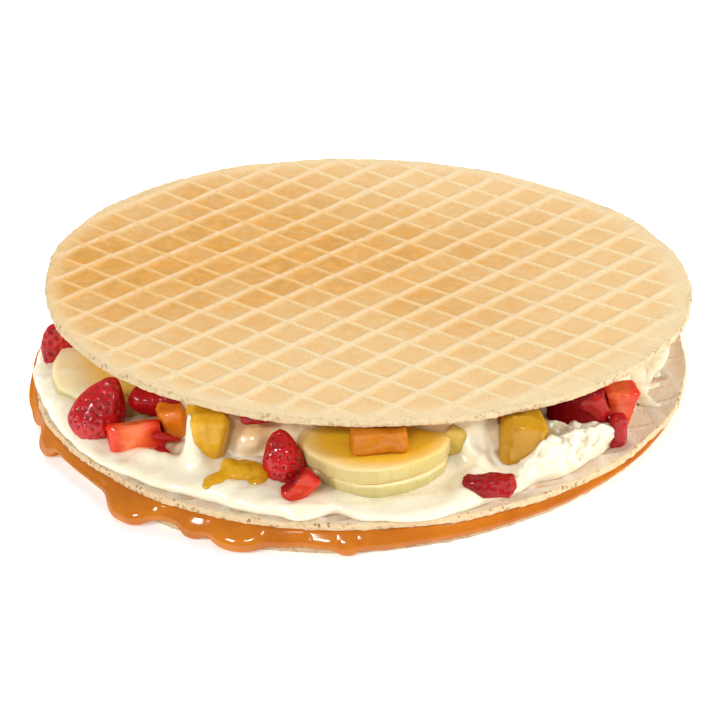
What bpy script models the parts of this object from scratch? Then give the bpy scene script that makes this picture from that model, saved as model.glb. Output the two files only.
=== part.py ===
"""Round filled wafer sandwich: three lattice wafers, a caramel layer that runs over the rim,
and a cream layer set with strawberry, banana, mango and papaya pieces.

The origin is the centre of the bottom wafer's flat underside. X runs right, Y away from the
open front, Z up. Lengths are metres, worked out from the sizes in millimetres below.
"""
import math
import random
from collections import namedtuple

import bmesh
import bpy
from mathutils import Euler, Matrix, Vector

MM = 0.001
GAP = 0.3 * MM                      # air left between two solids that lie on each other

# Wafers
WAFER_RADIUS = 75.0 * MM
WAFER_THICKNESS = 1.7 * MM
RIM_STEPS = 72                      # straight sides round a wafer
RIM_WAVE = 0.28 * MM                # how far the baked rim wanders in and out
INNER_RINGS = (24.0 * MM, 50.0 * MM)

BOTTOM_CENTRE = (-1.35 * MM, 0.1 * MM)
BOTTOM_WORN_ANGLE = -154.0          # the rim is worn back here, under the caramel
BOTTOM_WORN_SPREAD = 32.0
BOTTOM_WORN_DEPTH = 3.9 * MM

MIDDLE_CENTRE = (0.85 * MM, -0.05 * MM, 6.0 * MM)
MIDDLE_TILT = (-0.9, 1.2)           # degrees about X, then about Y

TOP_CENTRE = (3.3 * MM, 12.4 * MM, 18.9 * MM)
TOP_TILT = (-4.2, 4.1)
TOP_BOWL = 0.9 * MM                 # the rim stands this much above the middle
TOP_TWIST = -0.72 * MM
TOP_CURL = 0.85 * MM                # extra lift of the rim towards TOP_CURL_ANGLE
TOP_CURL_ANGLE = 45.0

# Lattice pressed into the wafers: square cells between narrow ridges
CELL_PITCH = 9.13 * MM
CELL_DEPTH = 0.55 * MM
RIDGE_WIDTH = 1.1 * MM
CELL_SLOPE = 0.65 * MM              # width of a cell's sloping side
LATTICE_MARGIN = 1.6 * MM           # plain band left at the rim
TOP_LATTICE = (-41.3, 1.5 * MM, -2.7 * MM)      # turn, and shift of a crossing off centre
MIDDLE_LATTICE = (14.0, 0.0, 3.0 * MM)
MIDDLE_LATTICE_FROM = 63.0 * MM     # further in, the cream hides it

# Caramel between the bottom and the middle wafer
CARAMEL_STEP = 7.5                  # degrees between its sections away from the drips
DRIP_SECTIONS = (-1.35, -0.9, -0.4, 0.4, 0.9, 1.35)   # sections across a drip, in spreads
CARAMEL_EDGE = 73.4 * MM            # where it ends between the wafers
CARAMEL_BULGE = 75.3 * MM           # where it swells over the rim without dripping
DRIP_CLEARANCE = 0.45 * MM          # between a drip and the bottom wafer's rim
DRIP_FOOT = 0.35 * MM               # height of a full drip's end above the ground
DRIP_WALL = 1.1 * MM                # least thickness of a drip
DRIP_ROOT = 1.9                     # the swelling above a drip is this much wider than it

Drip = namedtuple("Drip", "angle spread reach fall")
DRIPS = (
    Drip(-178.0, 8.0, 76.0, 0.9),
    Drip(-168.5, 4.0, 75.7, 0.5),
    Drip(-158.4, 3.2, 77.0, 1.0),
    Drip(-131.8, 4.9, 79.0, 1.0),
    Drip(-119.3, 2.5, 76.6, 0.95),
    Drip(-111.3, 4.8, 78.0, 1.0),
    Drip(-93.2, 2.0, 76.9, 1.0),
    Drip(34.0, 4.2, 76.9, 1.0),
    Drip(73.0, 5.0, 77.2, 1.0),
    Drip(122.0, 5.6, 77.5, 1.0),
    Drip(139.0, 3.0, 76.8, 1.0),
    Drip(160.0, 4.6, 77.6, 1.0),
)                                   # degrees, degrees, millimetres, share of the full fall

# Cream between the middle and the top wafer
CREAM_STEPS = 64
CREAM_FOOT = 71.6 * MM
CREAM_EDGE_HEIGHT = 2.7 * MM        # thickness just inside the foot
CREAM_SHELF_HEIGHT = 3.9 * MM       # thickness where the steep part starts
CREAM_CLIMB = 6.5 * MM              # width of the steep part, up to the top wafer
CREAM_SHOULDER = 60.0 * MM          # where the steep part starts
CREAM_LUMP = 0.45 * MM
CREAM_LIP = 2.2 * MM                # width of the rounded lip inside the foot
CREAM_LEAST_SHELF = 4.5 * MM        # least width between the foot and the steep part
ABOVE_ALL = 30.0 * MM               # a height over everything

Lobe = namedtuple("Lobe", "angle spread amount")
CREAM_FOOT_LOBES = (
    Lobe(178.0, 13.0, 2.2),
    Lobe(-151.0, 8.0, 0.7),
    Lobe(-120.0, 9.0, -2.2),
    Lobe(-94.5, 2.4, -3.0),
    Lobe(-80.0, 6.0, 3.2),
    Lobe(-58.0, 8.0, 1.8),
    Lobe(-22.0, 17.0, -4.6),
    Lobe(16.0, 10.0, -2.6),
    Lobe(48.0, 9.0, 1.2),
    Lobe(92.0, 12.0, 1.6),
    Lobe(128.0, 7.0, -1.4),
)                                   # degrees, degrees, millimetres
CREAM_HEIGHT_LOBES = (
    Lobe(-160.0, 18.0, -1.0),
    Lobe(-101.0, 9.0, 1.3),
    Lobe(-79.0, 8.0, 1.7),
    Lobe(-49.0, 11.0, 2.9),
    Lobe(-18.0, 14.0, -1.4),
)
CREAM_SHOULDER_LOBES = (
    Lobe(-150.0, 12.0, -12.0),
    Lobe(-113.0, 8.0, -5.0),
    Lobe(-90.0, 12.0, -12.0),
    Lobe(-65.5, 4.5, 3.5),
    Lobe(-38.0, 10.0, 0.0),
    Lobe(-10.0, 14.0, 4.0),
    Lobe(90.0, 70.0, 6.0),
)

# Fruit
Piece = namedtuple("Piece", "node kind at lift size turn cut")
SOFT_EDGE = 0.8 * MM                # rounding of a diced piece, and at most this share of its side
DICE_SOFTNESS = 0.22
BLOCK_SOFTNESS = 0.2                # a ripe block is rounded by this share of its least side
BANANA_SIDES = 18
BERRY_SIDES = 10
BERRY_RINGS = 7
BERRY_BASE = 1.16                   # a berry's fullness at its base, and how much its tip loses
BERRY_TAPER = 0.42
BERRY_DEPTH = 0.62                  # how far the skin stands out, as a share of the depth
CORNER_WANDER = 0.09                # share of its side that a diced corner is off square
FRUIT_SEED = 41

# at: x, y in millimetres; lift: millimetres above the middle wafer; size: width, depth, height;
# turn: degrees about X, Y, Z; cut: how much a diced piece narrows upwards, how far a banana
# slice is from round, or how far behind its middle a berry is cut
FRUIT = (
    Piece("banana_slice_lower", "banana", (3.0, -51.0), 1.2, (31.4, 31.4, 3.9), (0, 0, 0), 0.03),
    Piece("banana_slice_upper", "banana", (3.0, -51.2), 5.4, (33.0, 32.6, 4.1), (1.5, 1, 20), 0.03),
    Piece("banana_slice_left", "banana", (-52.8, -10.4), 0.6, (32.0, 30.5, 6.0), (2, -2, 0), 0.04),
    Piece("strawberry_half_left", "berry", (-57.6, -36.0), 0.2, (13.4, 9.0, 15.2), (-12, 9, -14), 0.15),
    Piece("strawberry_dice_left", "dice", (-48.4, -42.4), 0.3, (12.0, 8.4, 8.8), (3, -4, 6), 0.06),
    Piece("papaya_dice_left", "dice", (-40.2, -38.0), 0.4, (6.8, 7.6, 10.0), (2, -5, -4), 0.0),
    Piece("mango_block_left", "block", (-33.6, -48.2), 0.3, (8.6, 8.0, 14.6), (-3, 6, 4), -0.30),
    Piece("strawberry_half_mid", "berry", (-16.9, -59.0), 0.8, (9.6, 7.4, 13.0), (-8, -7, -4), 0.15),
    Piece("strawberry_cut_mid", "dice", (-13.5, -67.8), 0.4, (10.2, 5.0, 5.6), (-14, -38, 8), 0.10),
    Piece("mango_pulp_mid", "block", (-25.4, -58.6), 1.2, (8.6, 6.4, 3.6), (-10, 4, 12), 0.15),
    Piece("mango_pulp_front", "block", (-30.9, -60.6), 1.0, (5.8, 4.4, 2.8), (-8, -4, -22), 0.1),
    Piece("papaya_dice_front", "dice", (3.6, -57.2), 9.6, (12.0, 8.4, 6.4), (0, 0, 3), 0.02),
    Piece("banana_bit", "block", (21.0, -54.2), 4.6, (3.6, 6.0, 6.2), (0, 10, -18), 0.0),
    Piece("strawberry_dice_front", "dice", (25.9, -66.4), 0.5, (11.0, 6.0, 6.0), (-8, -5, -10), 0.08),
    Piece("strawberry_tip_front", "berry", (27.3, -50.2), 8.2, (6.6, 5.6, 9.0), (180, 0, 0), 0.0),
    Piece("mango_block_front", "block", (34.4, -55.2), 0.4, (10.6, 9.0, 12.6), (-5, 14, 8), -0.2),
    Piece("strawberry_dice_right", "dice", (46.4, -41.8), 1.2, (13.4, 9.4, 9.8), (-4, -6, 10), 0.06),
    Piece("strawberry_wedge_right", "dice", (56.0, -39.4), 0.9, (7.4, 5.8, 10.0), (4, 6, 12), -0.45),
    Piece("strawberry_stick_right", "dice", (55.6, -46.2), 0.1, (4.0, 4.0, 7.4), (-2, 3, 4), 0.05),
    Piece("strawberry_wedge_left", "berry", (-43.8, -30.2), 5.0, (13.0, 9.4, 12.0), (75, 62, 10), 0.2),
    Piece("strawberry_sliver_front", "dice", (-20.4, -51.0), 12.6, (11.0, 6.0, 2.8), (0, 0, 6), 0.0),
    Piece("strawberry_tip_left", "berry", (-68.2, -2.6), 0.3, (8.4, 7.4, 11.6), (176, 14, 0), 0.25),
    Piece("papaya_sliver_right", "dice", (69.4, -6.4), 0.2, (6.4, 10.0, 3.8), (0, 3, -14), 0.05),
    Piece("mango_dice_right", "block", (64.0, 8.0), 0.2, (8.0, 8.4, 6.2), (0, 3, 14), 0.05),
    Piece("strawberry_half_rear_right", "berry", (60.4, 27.6), 0.2, (8.0, 11.0, 12.0), (84, 12, 40), 0.2),
    Piece("banana_slice_rear_right", "banana", (41.6, 42.0), 0.3, (28.0, 27.0, 4.2), (1, 1, 10), 0.04),
    Piece("papaya_dice_rear", "dice", (24.6, 62.2), 0.2, (8.6, 7.0, 4.8), (0, 2, 20), 0.05),
    Piece("strawberry_dice_rear", "dice", (8.4, 65.6), 0.2, (10.0, 7.6, 4.6), (2, 0, -8), 0.08),
    Piece("mango_dice_rear", "block", (-8.6, 64.6), 0.2, (9.0, 8.0, 4.8), (0, -2, 16), 0.06),
    Piece("banana_slice_rear_left", "banana", (-33.0, 48.6), 0.3, (28.4, 28.0, 4.4), (1, -2, 0), 0.04),
    Piece("strawberry_half_rear_left", "berry", (-52.6, 42.2), 0.2, (8.6, 7.0, 12.0), (86, 20, -52), 0.2),
    Piece("papaya_dice_rear_left", "dice", (-62.0, 25.4), 0.3, (8.0, 8.4, 6.8), (2, 3, 24), 0.06),
    Piece("mango_block_rear_left", "block", (-66.6, 12.0), 0.3, (7.6, 9.4, 8.4), (0, 4, 8), 0.05),
)

# Finishes: base colour (linear), roughness
FINISHES = {
    "wafer": ((0.82, 0.52, 0.24), 0.75),
    "caramel": ((0.60, 0.19, 0.03), 0.15),
    "cream": ((0.95, 0.88, 0.70), 0.30),
    "strawberry": ((0.52, 0.03, 0.02), 0.30),
    "banana": ((0.85, 0.66, 0.33), 0.45),
    "mango": ((0.82, 0.42, 0.03), 0.35),
    "papaya": ((0.75, 0.22, 0.03), 0.35),
}


def new_collection(name):
    """A collection linked to the scene."""
    collection = bpy.data.collections.new(name)
    bpy.context.scene.collection.children.link(collection)
    return collection


def make_material(name):
    """The Principled material of one finish."""
    colour, roughness = FINISHES[name]
    material = bpy.data.materials.new(name)
    material.use_nodes = True
    shader = material.node_tree.nodes["Principled BSDF"]
    shader.inputs["Base Color"].default_value = (*colour, 1.0)
    shader.inputs["Roughness"].default_value = roughness
    shader.inputs["Metallic"].default_value = 0.0
    return material


def make_object(name, bm, collection, material=None):
    """A linked object that owns the bmesh's geometry."""
    mesh = bpy.data.meshes.new(name)
    bm.to_mesh(mesh)
    bm.free()
    obj = bpy.data.objects.new(name, mesh)
    collection.objects.link(obj)
    if material is not None:
        mesh.materials.append(material)
    return obj


def make_cutter(name, bm, cutters):
    """A solid that only cuts: never rendered and drawn as wire."""
    obj = make_object(name, bm, cutters)
    obj.hide_render = True
    obj.display_type = "WIRE"
    return obj


def bake_modifiers(obj):
    """Replace an object's mesh by what its modifiers make of it."""
    depsgraph = bpy.context.evaluated_depsgraph_get()
    mesh = bpy.data.meshes.new_from_object(obj.evaluated_get(depsgraph))
    old = obj.data
    obj.modifiers.clear()
    obj.data = mesh
    bpy.data.meshes.remove(old)


def boolean(obj, cutter, operation="DIFFERENCE"):
    """Cut or intersect a solid with another and bake the result."""
    modifier = obj.modifiers.new("cut", "BOOLEAN")
    modifier.operation = operation
    modifier.solver = "EXACT"
    modifier.object = cutter
    bake_modifiers(obj)


def islands(bm):
    """The separate shells of a bmesh, as lists of vertices."""
    left = set(bm.verts)
    shells = []
    while left:
        shell = []
        queue = [left.pop()]
        while queue:
            vertex = queue.pop()
            shell.append(vertex)
            for edge in vertex.link_edges:
                other = edge.other_vert(vertex)
                if other in left:
                    left.discard(other)
                    queue.append(other)
        shells.append(shell)
    return shells


def spread(vertices):
    """How far a shell reaches, as the sum of its box's sides."""
    return sum(max(v.co[i] for v in vertices) - min(v.co[i] for v in vertices) for i in range(3))


def main_shell(bm):
    """Drop every shell of a bmesh but the widest."""
    shells = sorted(islands(bm), key=spread)
    for shell in shells[:-1]:
        bmesh.ops.delete(bm, geom=shell, context="VERTS")


def clean(obj, flatten=0.4, careful=0.05):
    """Keep the main shell, drop needless vertices where that is safe, and end in triangles."""
    for angle in (flatten, careful, 0.0):
        bm = bmesh.new()
        bm.from_mesh(obj.data)
        bmesh.ops.remove_doubles(bm, verts=bm.verts[:], dist=0.001 * MM)
        main_shell(bm)
        if angle > 0.0:
            bmesh.ops.dissolve_limit(
                bm, angle_limit=math.radians(angle), verts=bm.verts[:], edges=bm.edges[:]
            )
        bmesh.ops.triangulate(bm, faces=bm.faces[:])
        closed = all(edge.is_manifold for edge in bm.edges)
        if closed or angle == 0.0:
            bmesh.ops.recalc_face_normals(bm, faces=bm.faces[:])
            bm.to_mesh(obj.data)
        bm.free()
        if closed:
            return


def angle_gap(a, b):
    """Degrees from one direction to another, -180 to 180."""
    return (a - b + 180.0) % 360.0 - 180.0


def bump(angle, centre, width):
    """1 at the centre of a bump, falling smoothly to 0 beside it."""
    return math.exp(-((angle_gap(angle, centre) / width) ** 2))


def drip_share(angle, drip, wider=1.0):
    """1 over a drip's middle, falling to 0 at its sides more steeply than a bump does."""
    return math.exp(-abs(angle_gap(angle, drip.angle) / (wider * drip.spread)) ** 3)


def lobed(angle, base, lobes):
    """A size round the part: a base value and the lobes that swell or pinch it."""
    return base + sum(lobe.amount * MM * bump(angle, lobe.angle, lobe.spread) for lobe in lobes)


def wave(angle, seed, size):
    """A small wandering that closes on itself round the part."""
    draw = random.Random(seed)
    total = 0.0
    for turns in (3, 5, 8, 13, 21):
        total += math.sin(math.radians(turns * angle) + draw.uniform(0.0, math.tau)) / 2.2
    return size * total


def tilt_pose(centre, tilt):
    """Where a wafer lies: its top face's centre, and its tilt about X, then Y."""
    turned = Matrix.Rotation(math.radians(tilt[1]), 4, "Y") @ Matrix.Rotation(math.radians(tilt[0]), 4, "X")
    return Matrix.Translation(centre) @ turned


MIDDLE_POSE = tilt_pose(MIDDLE_CENTRE, MIDDLE_TILT)
TOP_POSE = tilt_pose(TOP_CENTRE, TOP_TILT)


def plane_height(pose, x, y, offset=0.0):
    """Height over (x, y) of a wafer's flat top face, moved along its normal by offset."""
    normal = pose.to_3x3() @ Vector((0.0, 0.0, 1.0))
    centre = pose.translation + normal * offset
    return centre.z - (normal.x * (x - centre.x) + normal.y * (y - centre.y)) / normal.z


def top_bend(x, y):
    """How far the top wafer bends out of its plane at a place on it."""
    u = x / WAFER_RADIUS
    v = y / WAFER_RADIUS
    direction = math.radians(TOP_CURL_ANGLE)
    along = u * math.cos(direction) + v * math.sin(direction)
    square = u * u + v * v
    return TOP_BOWL * square + TOP_TWIST * u * v + TOP_CURL * square * along


def top_underside(x, y):
    """Height of the top wafer's underside over (x, y)."""
    local = TOP_POSE.inverted() @ Vector((x, y, plane_height(TOP_POSE, x, y)))
    return plane_height(TOP_POSE, x, y, -WAFER_THICKNESS) + top_bend(local.x, local.y)


def bottom_radius(angle):
    """The bottom wafer's rim about its own centre, worn back at the left front."""
    worn = BOTTOM_WORN_DEPTH * bump(angle, BOTTOM_WORN_ANGLE, BOTTOM_WORN_SPREAD)
    return WAFER_RADIUS - worn + wave(angle, 3, 0.5 * RIM_WAVE)


def bottom_rim(angle):
    """The bottom wafer's rim as a distance from the part's origin."""
    turn = math.radians(angle)
    inwards = BOTTOM_CENTRE[0] * math.cos(turn) + BOTTOM_CENTRE[1] * math.sin(turn)
    return bottom_radius(angle) + inwards


def wafer_disc(radius_at, thickness, lift=0.0):
    """A flat disc with a wandering rim and its top face at z = 0, or higher by lift."""
    bm = bmesh.new()
    bmesh.ops.create_cone(
        bm, cap_ends=True, segments=RIM_STEPS, radius1=WAFER_RADIUS, radius2=WAFER_RADIUS, depth=thickness
    )
    bmesh.ops.translate(bm, verts=bm.verts[:], vec=(0.0, 0.0, lift - thickness / 2))
    for vertex in bm.verts:
        angle = math.degrees(math.atan2(vertex.co.y, vertex.co.x))
        vertex.co.xy *= radius_at(angle) / WAFER_RADIUS
    return bm


def ring_underside(bm):
    """Give the flat underside rings of vertices, so that it can bend with the top."""
    under = [face for face in bm.faces if face.normal.z < -0.9]
    if len(under) > 1:
        under = bmesh.ops.dissolve_faces(bm, faces=under)["region"]
    width = WAFER_RADIUS
    for ring in reversed(INNER_RINGS):
        bmesh.ops.inset_individual(bm, faces=under, thickness=width - ring, use_even_offset=True)
        width = ring
    bmesh.ops.triangulate(bm, faces=bm.faces[:])


def cell_cutters(lattice, inner, cutters):
    """One solid of blunt pyramids that presses the square cells into a wafer."""
    turn, shift_x, shift_y = lattice
    half_open = (CELL_PITCH - RIDGE_WIDTH) / 2
    half_floor = half_open - CELL_SLOPE
    half_above = min(half_open + CELL_SLOPE, 0.499 * CELL_PITCH)
    reach = WAFER_RADIUS - LATTICE_MARGIN
    count = int(WAFER_RADIUS / CELL_PITCH) + 2
    to_wafer = Matrix.Rotation(math.radians(turn), 4, "Z") @ Matrix.Translation((shift_x, shift_y, 0.0))
    bm = bmesh.new()
    for row in range(-count, count):
        for column in range(-count, count):
            centre = to_wafer @ Vector(((row + 0.5) * CELL_PITCH, (column + 0.5) * CELL_PITCH, 0.0))
            distance = centre.to_2d().length
            if distance > reach - 0.15 * CELL_PITCH or distance < inner:
                continue
            place = Matrix.Translation(centre) @ Matrix.Rotation(math.radians(turn + 45.0), 4, "Z")
            bmesh.ops.create_cone(
                bm,
                cap_ends=True,
                segments=4,
                radius1=half_floor * math.sqrt(2),
                radius2=half_above * math.sqrt(2),
                depth=2 * CELL_DEPTH,
                matrix=place,
            )
    cells = make_cutter("lattice_cells", bm, cutters)
    ring = bmesh.new()
    bmesh.ops.create_cone(
        ring, cap_ends=True, segments=RIM_STEPS // 2, radius1=reach, radius2=reach, depth=6 * CELL_DEPTH
    )
    limit = make_cutter("lattice_limit", ring, cutters)
    boolean(cells, limit, "INTERSECT")
    bpy.data.objects.remove(limit)
    return cells


def bend_and_place(obj, bend, pose):
    """Ring the underside of a flat wafer, bend it and move its mesh to where it lies."""
    bm = bmesh.new()
    bm.from_mesh(obj.data)
    bm.normal_update()
    ring_underside(bm)
    for vertex in bm.verts:
        vertex.co.z += bend(vertex.co.x, vertex.co.y)
        vertex.co = pose @ vertex.co
    bm.to_mesh(obj.data)
    bm.free()


def make_wafer(node, radius_at, material, parts, cutters, pose, bend=None, lattice=None, inner=0.0):
    """One wafer: a disc with a wandering rim, its cells pressed in, bent and laid in place."""
    wafer = make_object(node, wafer_disc(radius_at, WAFER_THICKNESS), parts, material)
    if lattice is not None:
        cells = cell_cutters(lattice, inner, cutters)
        boolean(wafer, cells)
        bpy.data.objects.remove(cells)
    clean(wafer)
    if bend is not None:
        bend_and_place(wafer, bend, pose)
    else:
        wafer.data.transform(pose)


def loft(rings):
    """A closed solid through rings of equal length, from its flat bottom to its top."""
    bm = bmesh.new()
    loops = [[bm.verts.new(point) for point in ring] for ring in rings]
    for lower, upper in zip(loops, loops[1:]):
        for i, start in enumerate(lower):
            j = (i + 1) % len(lower)
            bm.faces.new((start, lower[j], upper[j], upper[i]))
    bm.faces.new(tuple(reversed(loops[0])))
    bm.faces.new(tuple(loops[-1]))
    return bm


def polar(angle, radius, height):
    """A point at a direction and distance from the axis."""
    turn = math.radians(angle)
    return Vector((radius * math.cos(turn), radius * math.sin(turn), height))


def caramel_section(angle):
    """The caramel's outline in one direction, bottom middle to top middle, as (radius, height)."""
    turn = math.radians(angle)
    edge_x = WAFER_RADIUS * math.cos(turn)
    edge_y = WAFER_RADIUS * math.sin(turn)
    ceiling = plane_height(MIDDLE_POSE, edge_x, edge_y, -WAFER_THICKNESS) - GAP
    floor = WAFER_THICKNESS + GAP
    thick = min(1.0, max(0.0, (ceiling - floor - 1.0 * MM) / (2.2 * MM)))
    root = max(drip_share(angle, drip, DRIP_ROOT) for drip in DRIPS)
    swell = min(1.0, 1.6 * root)
    spill = 0.0
    if swell == 1.0:
        spill = max(drip.fall * drip_share(angle, drip) for drip in DRIPS)
    reach = CARAMEL_EDGE + thick * (CARAMEL_BULGE - CARAMEL_EDGE)
    for drip in DRIPS:
        reach = max(reach, reach + drip_share(angle, drip) * (drip.reach * MM - reach))
    over_rim = bottom_rim(angle) + DRIP_CLEARANCE
    inside = min(over_rim, reach - DRIP_WALL)
    inside += swell * (over_rim - inside)
    reach = max(reach, inside + DRIP_WALL)
    border = floor + 0.42 * (ceiling - floor) * bump(angle, BOTTOM_WORN_ANGLE, BOTTOM_WORN_SPREAD)
    lowest = border + spill * (DRIP_FOOT - border)
    tall = ceiling - lowest
    return (
        (inside - 2.0 * MM, floor),
        (inside, floor),
        (inside + 0.05 * MM, lowest + 0.12 * MM),
        (inside + 0.7 * (reach - inside), lowest),
        (reach - 0.1 * MM, lowest + 0.12 * tall),
        (reach, lowest + 0.34 * tall),
        (reach - 0.2 * MM, lowest + 0.68 * tall),
        (min(reach - 0.7 * MM, WAFER_RADIUS), lowest + 0.90 * tall),
        (min(reach - 1.4 * MM, WAFER_RADIUS - 0.6 * MM), ceiling),
    )


def caramel_angles():
    """The directions of the caramel's sections, closer together at the drips."""
    angles = []
    for drip in DRIPS:
        angles += [(drip.angle + share * drip.spread) % 360.0 for share in DRIP_SECTIONS]
    for i in range(int(360.0 / CARAMEL_STEP)):
        angle = i * CARAMEL_STEP
        if all(abs(angle_gap(angle, other)) > 0.4 * CARAMEL_STEP for other in angles):
            angles.append(angle)
    angles.sort()
    return [a for a, after in zip(angles, angles[1:] + [angles[0] + 360.0]) if after - a > 0.5]


def make_caramel(parts, material):
    """The caramel layer with its drips over the bottom wafer's rim."""
    angles = caramel_angles()
    sections = [caramel_section(angle) for angle in angles]
    rings = []
    for level in zip(*sections):
        rings.append([polar(angle, radius, height) for angle, (radius, height) in zip(angles, level)])
    for point in rings[-1]:
        point.z = plane_height(MIDDLE_POSE, point.x, point.y, -WAFER_THICKNESS) - GAP
    caramel = make_object("caramel", loft(rings), parts, material)
    clean(caramel, flatten=0.05)
    return caramel


def cream_section(angle):
    """The cream's outline in one direction as (radius, thickness over the middle wafer)."""
    foot = lobed(angle, CREAM_FOOT, CREAM_FOOT_LOBES) + wave(angle, 11, 0.35 * MM)
    shoulder = min(lobed(angle, CREAM_SHOULDER, CREAM_SHOULDER_LOBES), foot - CREAM_LEAST_SHELF)
    edge = lobed(angle, CREAM_EDGE_HEIGHT, CREAM_HEIGHT_LOBES) + wave(angle, 17, CREAM_LUMP)
    shelf = lobed(angle, CREAM_SHELF_HEIGHT, CREAM_HEIGHT_LOBES) + wave(angle, 23, CREAM_LUMP)
    middle = 0.5 * (foot - CREAM_LIP + shoulder)
    return (
        (foot - 0.5 * MM, 0.0),
        (foot, 0.28 * edge),
        (foot - 0.35 * MM, 0.68 * edge),
        (foot - CREAM_LIP, edge),
        (middle, 0.5 * (edge + shelf) + wave(angle, 29, CREAM_LUMP)),
        (shoulder, shelf),
        (shoulder - 0.35 * CREAM_CLIMB, shelf + 4.5 * MM),
        (shoulder - CREAM_CLIMB, ABOVE_ALL),
        (0.5 * shoulder, ABOVE_ALL),
    )


def make_cream(parts, material):
    """The cream layer, before the fruit is pressed into it."""
    angles = [360.0 * i / CREAM_STEPS for i in range(CREAM_STEPS)]
    sections = [cream_section(angle) for angle in angles]
    rings = []
    for level in zip(*sections):
        ring = []
        for angle, (radius, thickness) in zip(angles, level):
            point = polar(angle, radius, 0.0)
            floor = plane_height(MIDDLE_POSE, point.x, point.y) + GAP
            point.z = min(floor + thickness, top_underside(point.x, point.y) - GAP)
            ring.append(point)
        rings.append(ring)
    return make_object("cream", loft(rings), parts, material)


def softened_box(size, taper, soft, draw):
    """A box with wandering corners, narrower towards its top and with softened edges."""
    bm = bmesh.new()
    bmesh.ops.create_cube(bm, size=1.0)
    for vertex in bm.verts:
        wander = [1.0 + draw.uniform(-CORNER_WANDER, CORNER_WANDER) for _ in range(3)]
        narrow = 1.0 - taper * vertex.co.z
        vertex.co.x *= size[0] * MM * wander[0] * narrow
        vertex.co.y *= size[1] * MM * wander[1] * narrow
        vertex.co.z *= size[2] * MM * wander[2]
    bmesh.ops.bevel(bm, geom=bm.edges[:], offset=soft, segments=1, affect="EDGES")
    return bm


def dice(size, taper, draw):
    """A diced piece, with edges as the knife left them."""
    return softened_box(size, taper, min(SOFT_EDGE, DICE_SOFTNESS * min(size) * MM), draw)


def block(size, taper, draw):
    """A ripe soft block, with rounder edges."""
    return softened_box(size, taper, BLOCK_SOFTNESS * min(size) * MM, draw)


def banana(size, taper, draw):
    """A banana slice: a slightly five-sided disc with a worn edge."""
    bm = bmesh.new()
    bmesh.ops.create_cone(
        bm, cap_ends=True, segments=BANANA_SIDES, radius1=1.0, radius2=1.0, depth=size[2] * MM
    )
    phase = draw.uniform(0.0, math.tau)
    for vertex in bm.verts:
        turn = math.atan2(vertex.co.y, vertex.co.x)
        radius = 1.0 + taper * math.cos(5 * turn + phase) * 0.5 + 0.02 * math.cos(2 * turn)
        vertex.co.x = 0.5 * size[0] * MM * radius * math.cos(turn)
        vertex.co.y = 0.5 * size[1] * MM * radius * math.sin(turn)
    rims = [edge for edge in bm.edges if any(len(face.verts) > 4 for face in edge.link_faces)]
    bmesh.ops.bevel(bm, geom=rims, offset=0.55 * MM, segments=1, affect="EDGES")
    return bm


def berry(size, cut, _draw):
    """A strawberry piece, tip up: its skin in front, a flat cut face behind."""
    bm = bmesh.new()
    bmesh.ops.create_uvsphere(bm, u_segments=BERRY_SIDES, v_segments=BERRY_RINGS, radius=1.0)
    for vertex in bm.verts:
        height = 0.5 * (vertex.co.z + 1.0)
        full = BERRY_BASE - BERRY_TAPER * height
        vertex.co.x *= 0.5 * size[0] * MM * full
        vertex.co.y *= size[1] * MM * full * BERRY_DEPTH
        vertex.co.z *= 0.5 * size[2] * MM
    half = bmesh.ops.bisect_plane(
        bm,
        geom=bm.verts[:] + bm.edges[:] + bm.faces[:],
        plane_co=(0.0, cut * size[1] * MM, 0.0),
        plane_no=(0.0, 1.0, 0.0),
        clear_outer=True,
    )
    border = [item for item in half["geom_cut"] if isinstance(item, bmesh.types.BMEdge)]
    bmesh.ops.contextual_create(bm, geom=border)
    return bm


MAKERS = {"dice": dice, "block": block, "banana": banana, "berry": berry}


def settle(bm, piece):
    """Turn a fruit piece, and set it at its place and lift over the middle wafer."""
    turn = Euler([math.radians(a) for a in piece.turn]).to_matrix().to_4x4()
    bmesh.ops.transform(bm, matrix=turn, verts=bm.verts[:])
    bmesh.ops.translate(bm, verts=bm.verts[:], vec=(piece.at[0] * MM, piece.at[1] * MM, 0.0))
    low = min(v.co.z - plane_height(MIDDLE_POSE, v.co.x, v.co.y) for v in bm.verts)
    rise = GAP + piece.lift * MM - low
    bmesh.ops.translate(bm, verts=bm.verts[:], vec=(0.0, 0.0, rise))


def swollen(obj, name, cutters, distance=GAP):
    """A cutter round a solid: its convex hull with an even gap added."""
    bm = bmesh.new()
    bm.from_mesh(obj.data)
    hull = bmesh.ops.convex_hull(bm, input=bm.verts[:], use_existing_faces=False)
    outside = {item for item in hull["geom"] if isinstance(item, bmesh.types.BMFace)}
    inside = [face for face in bm.faces if face not in outside]
    bmesh.ops.delete(bm, geom=inside, context="FACES")
    unused = [vertex for vertex in bm.verts if not vertex.link_faces]
    bmesh.ops.delete(bm, geom=unused, context="VERTS")
    bmesh.ops.recalc_face_normals(bm, faces=bm.faces[:])
    bm.normal_update()
    moves = [v.normal * distance * min(v.calc_shell_factor(), 2.0) for v in bm.verts]
    for vertex, move in zip(bm.verts, moves):
        vertex.co += move
    return make_cutter(name, bm, cutters)


def box_of(obj):
    """An object's lowest and highest corners."""
    corners = [v.co for v in obj.data.vertices]
    low = [min(c[i] for c in corners) for i in range(3)]
    high = [max(c[i] for c in corners) for i in range(3)]
    return low, high


def near(first, second, margin=GAP):
    """Whether two objects' boxes come close."""
    low_a, high_a = box_of(first)
    low_b, high_b = box_of(second)
    return all(low_a[i] - margin < high_b[i] and low_b[i] - margin < high_a[i] for i in range(3))


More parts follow.
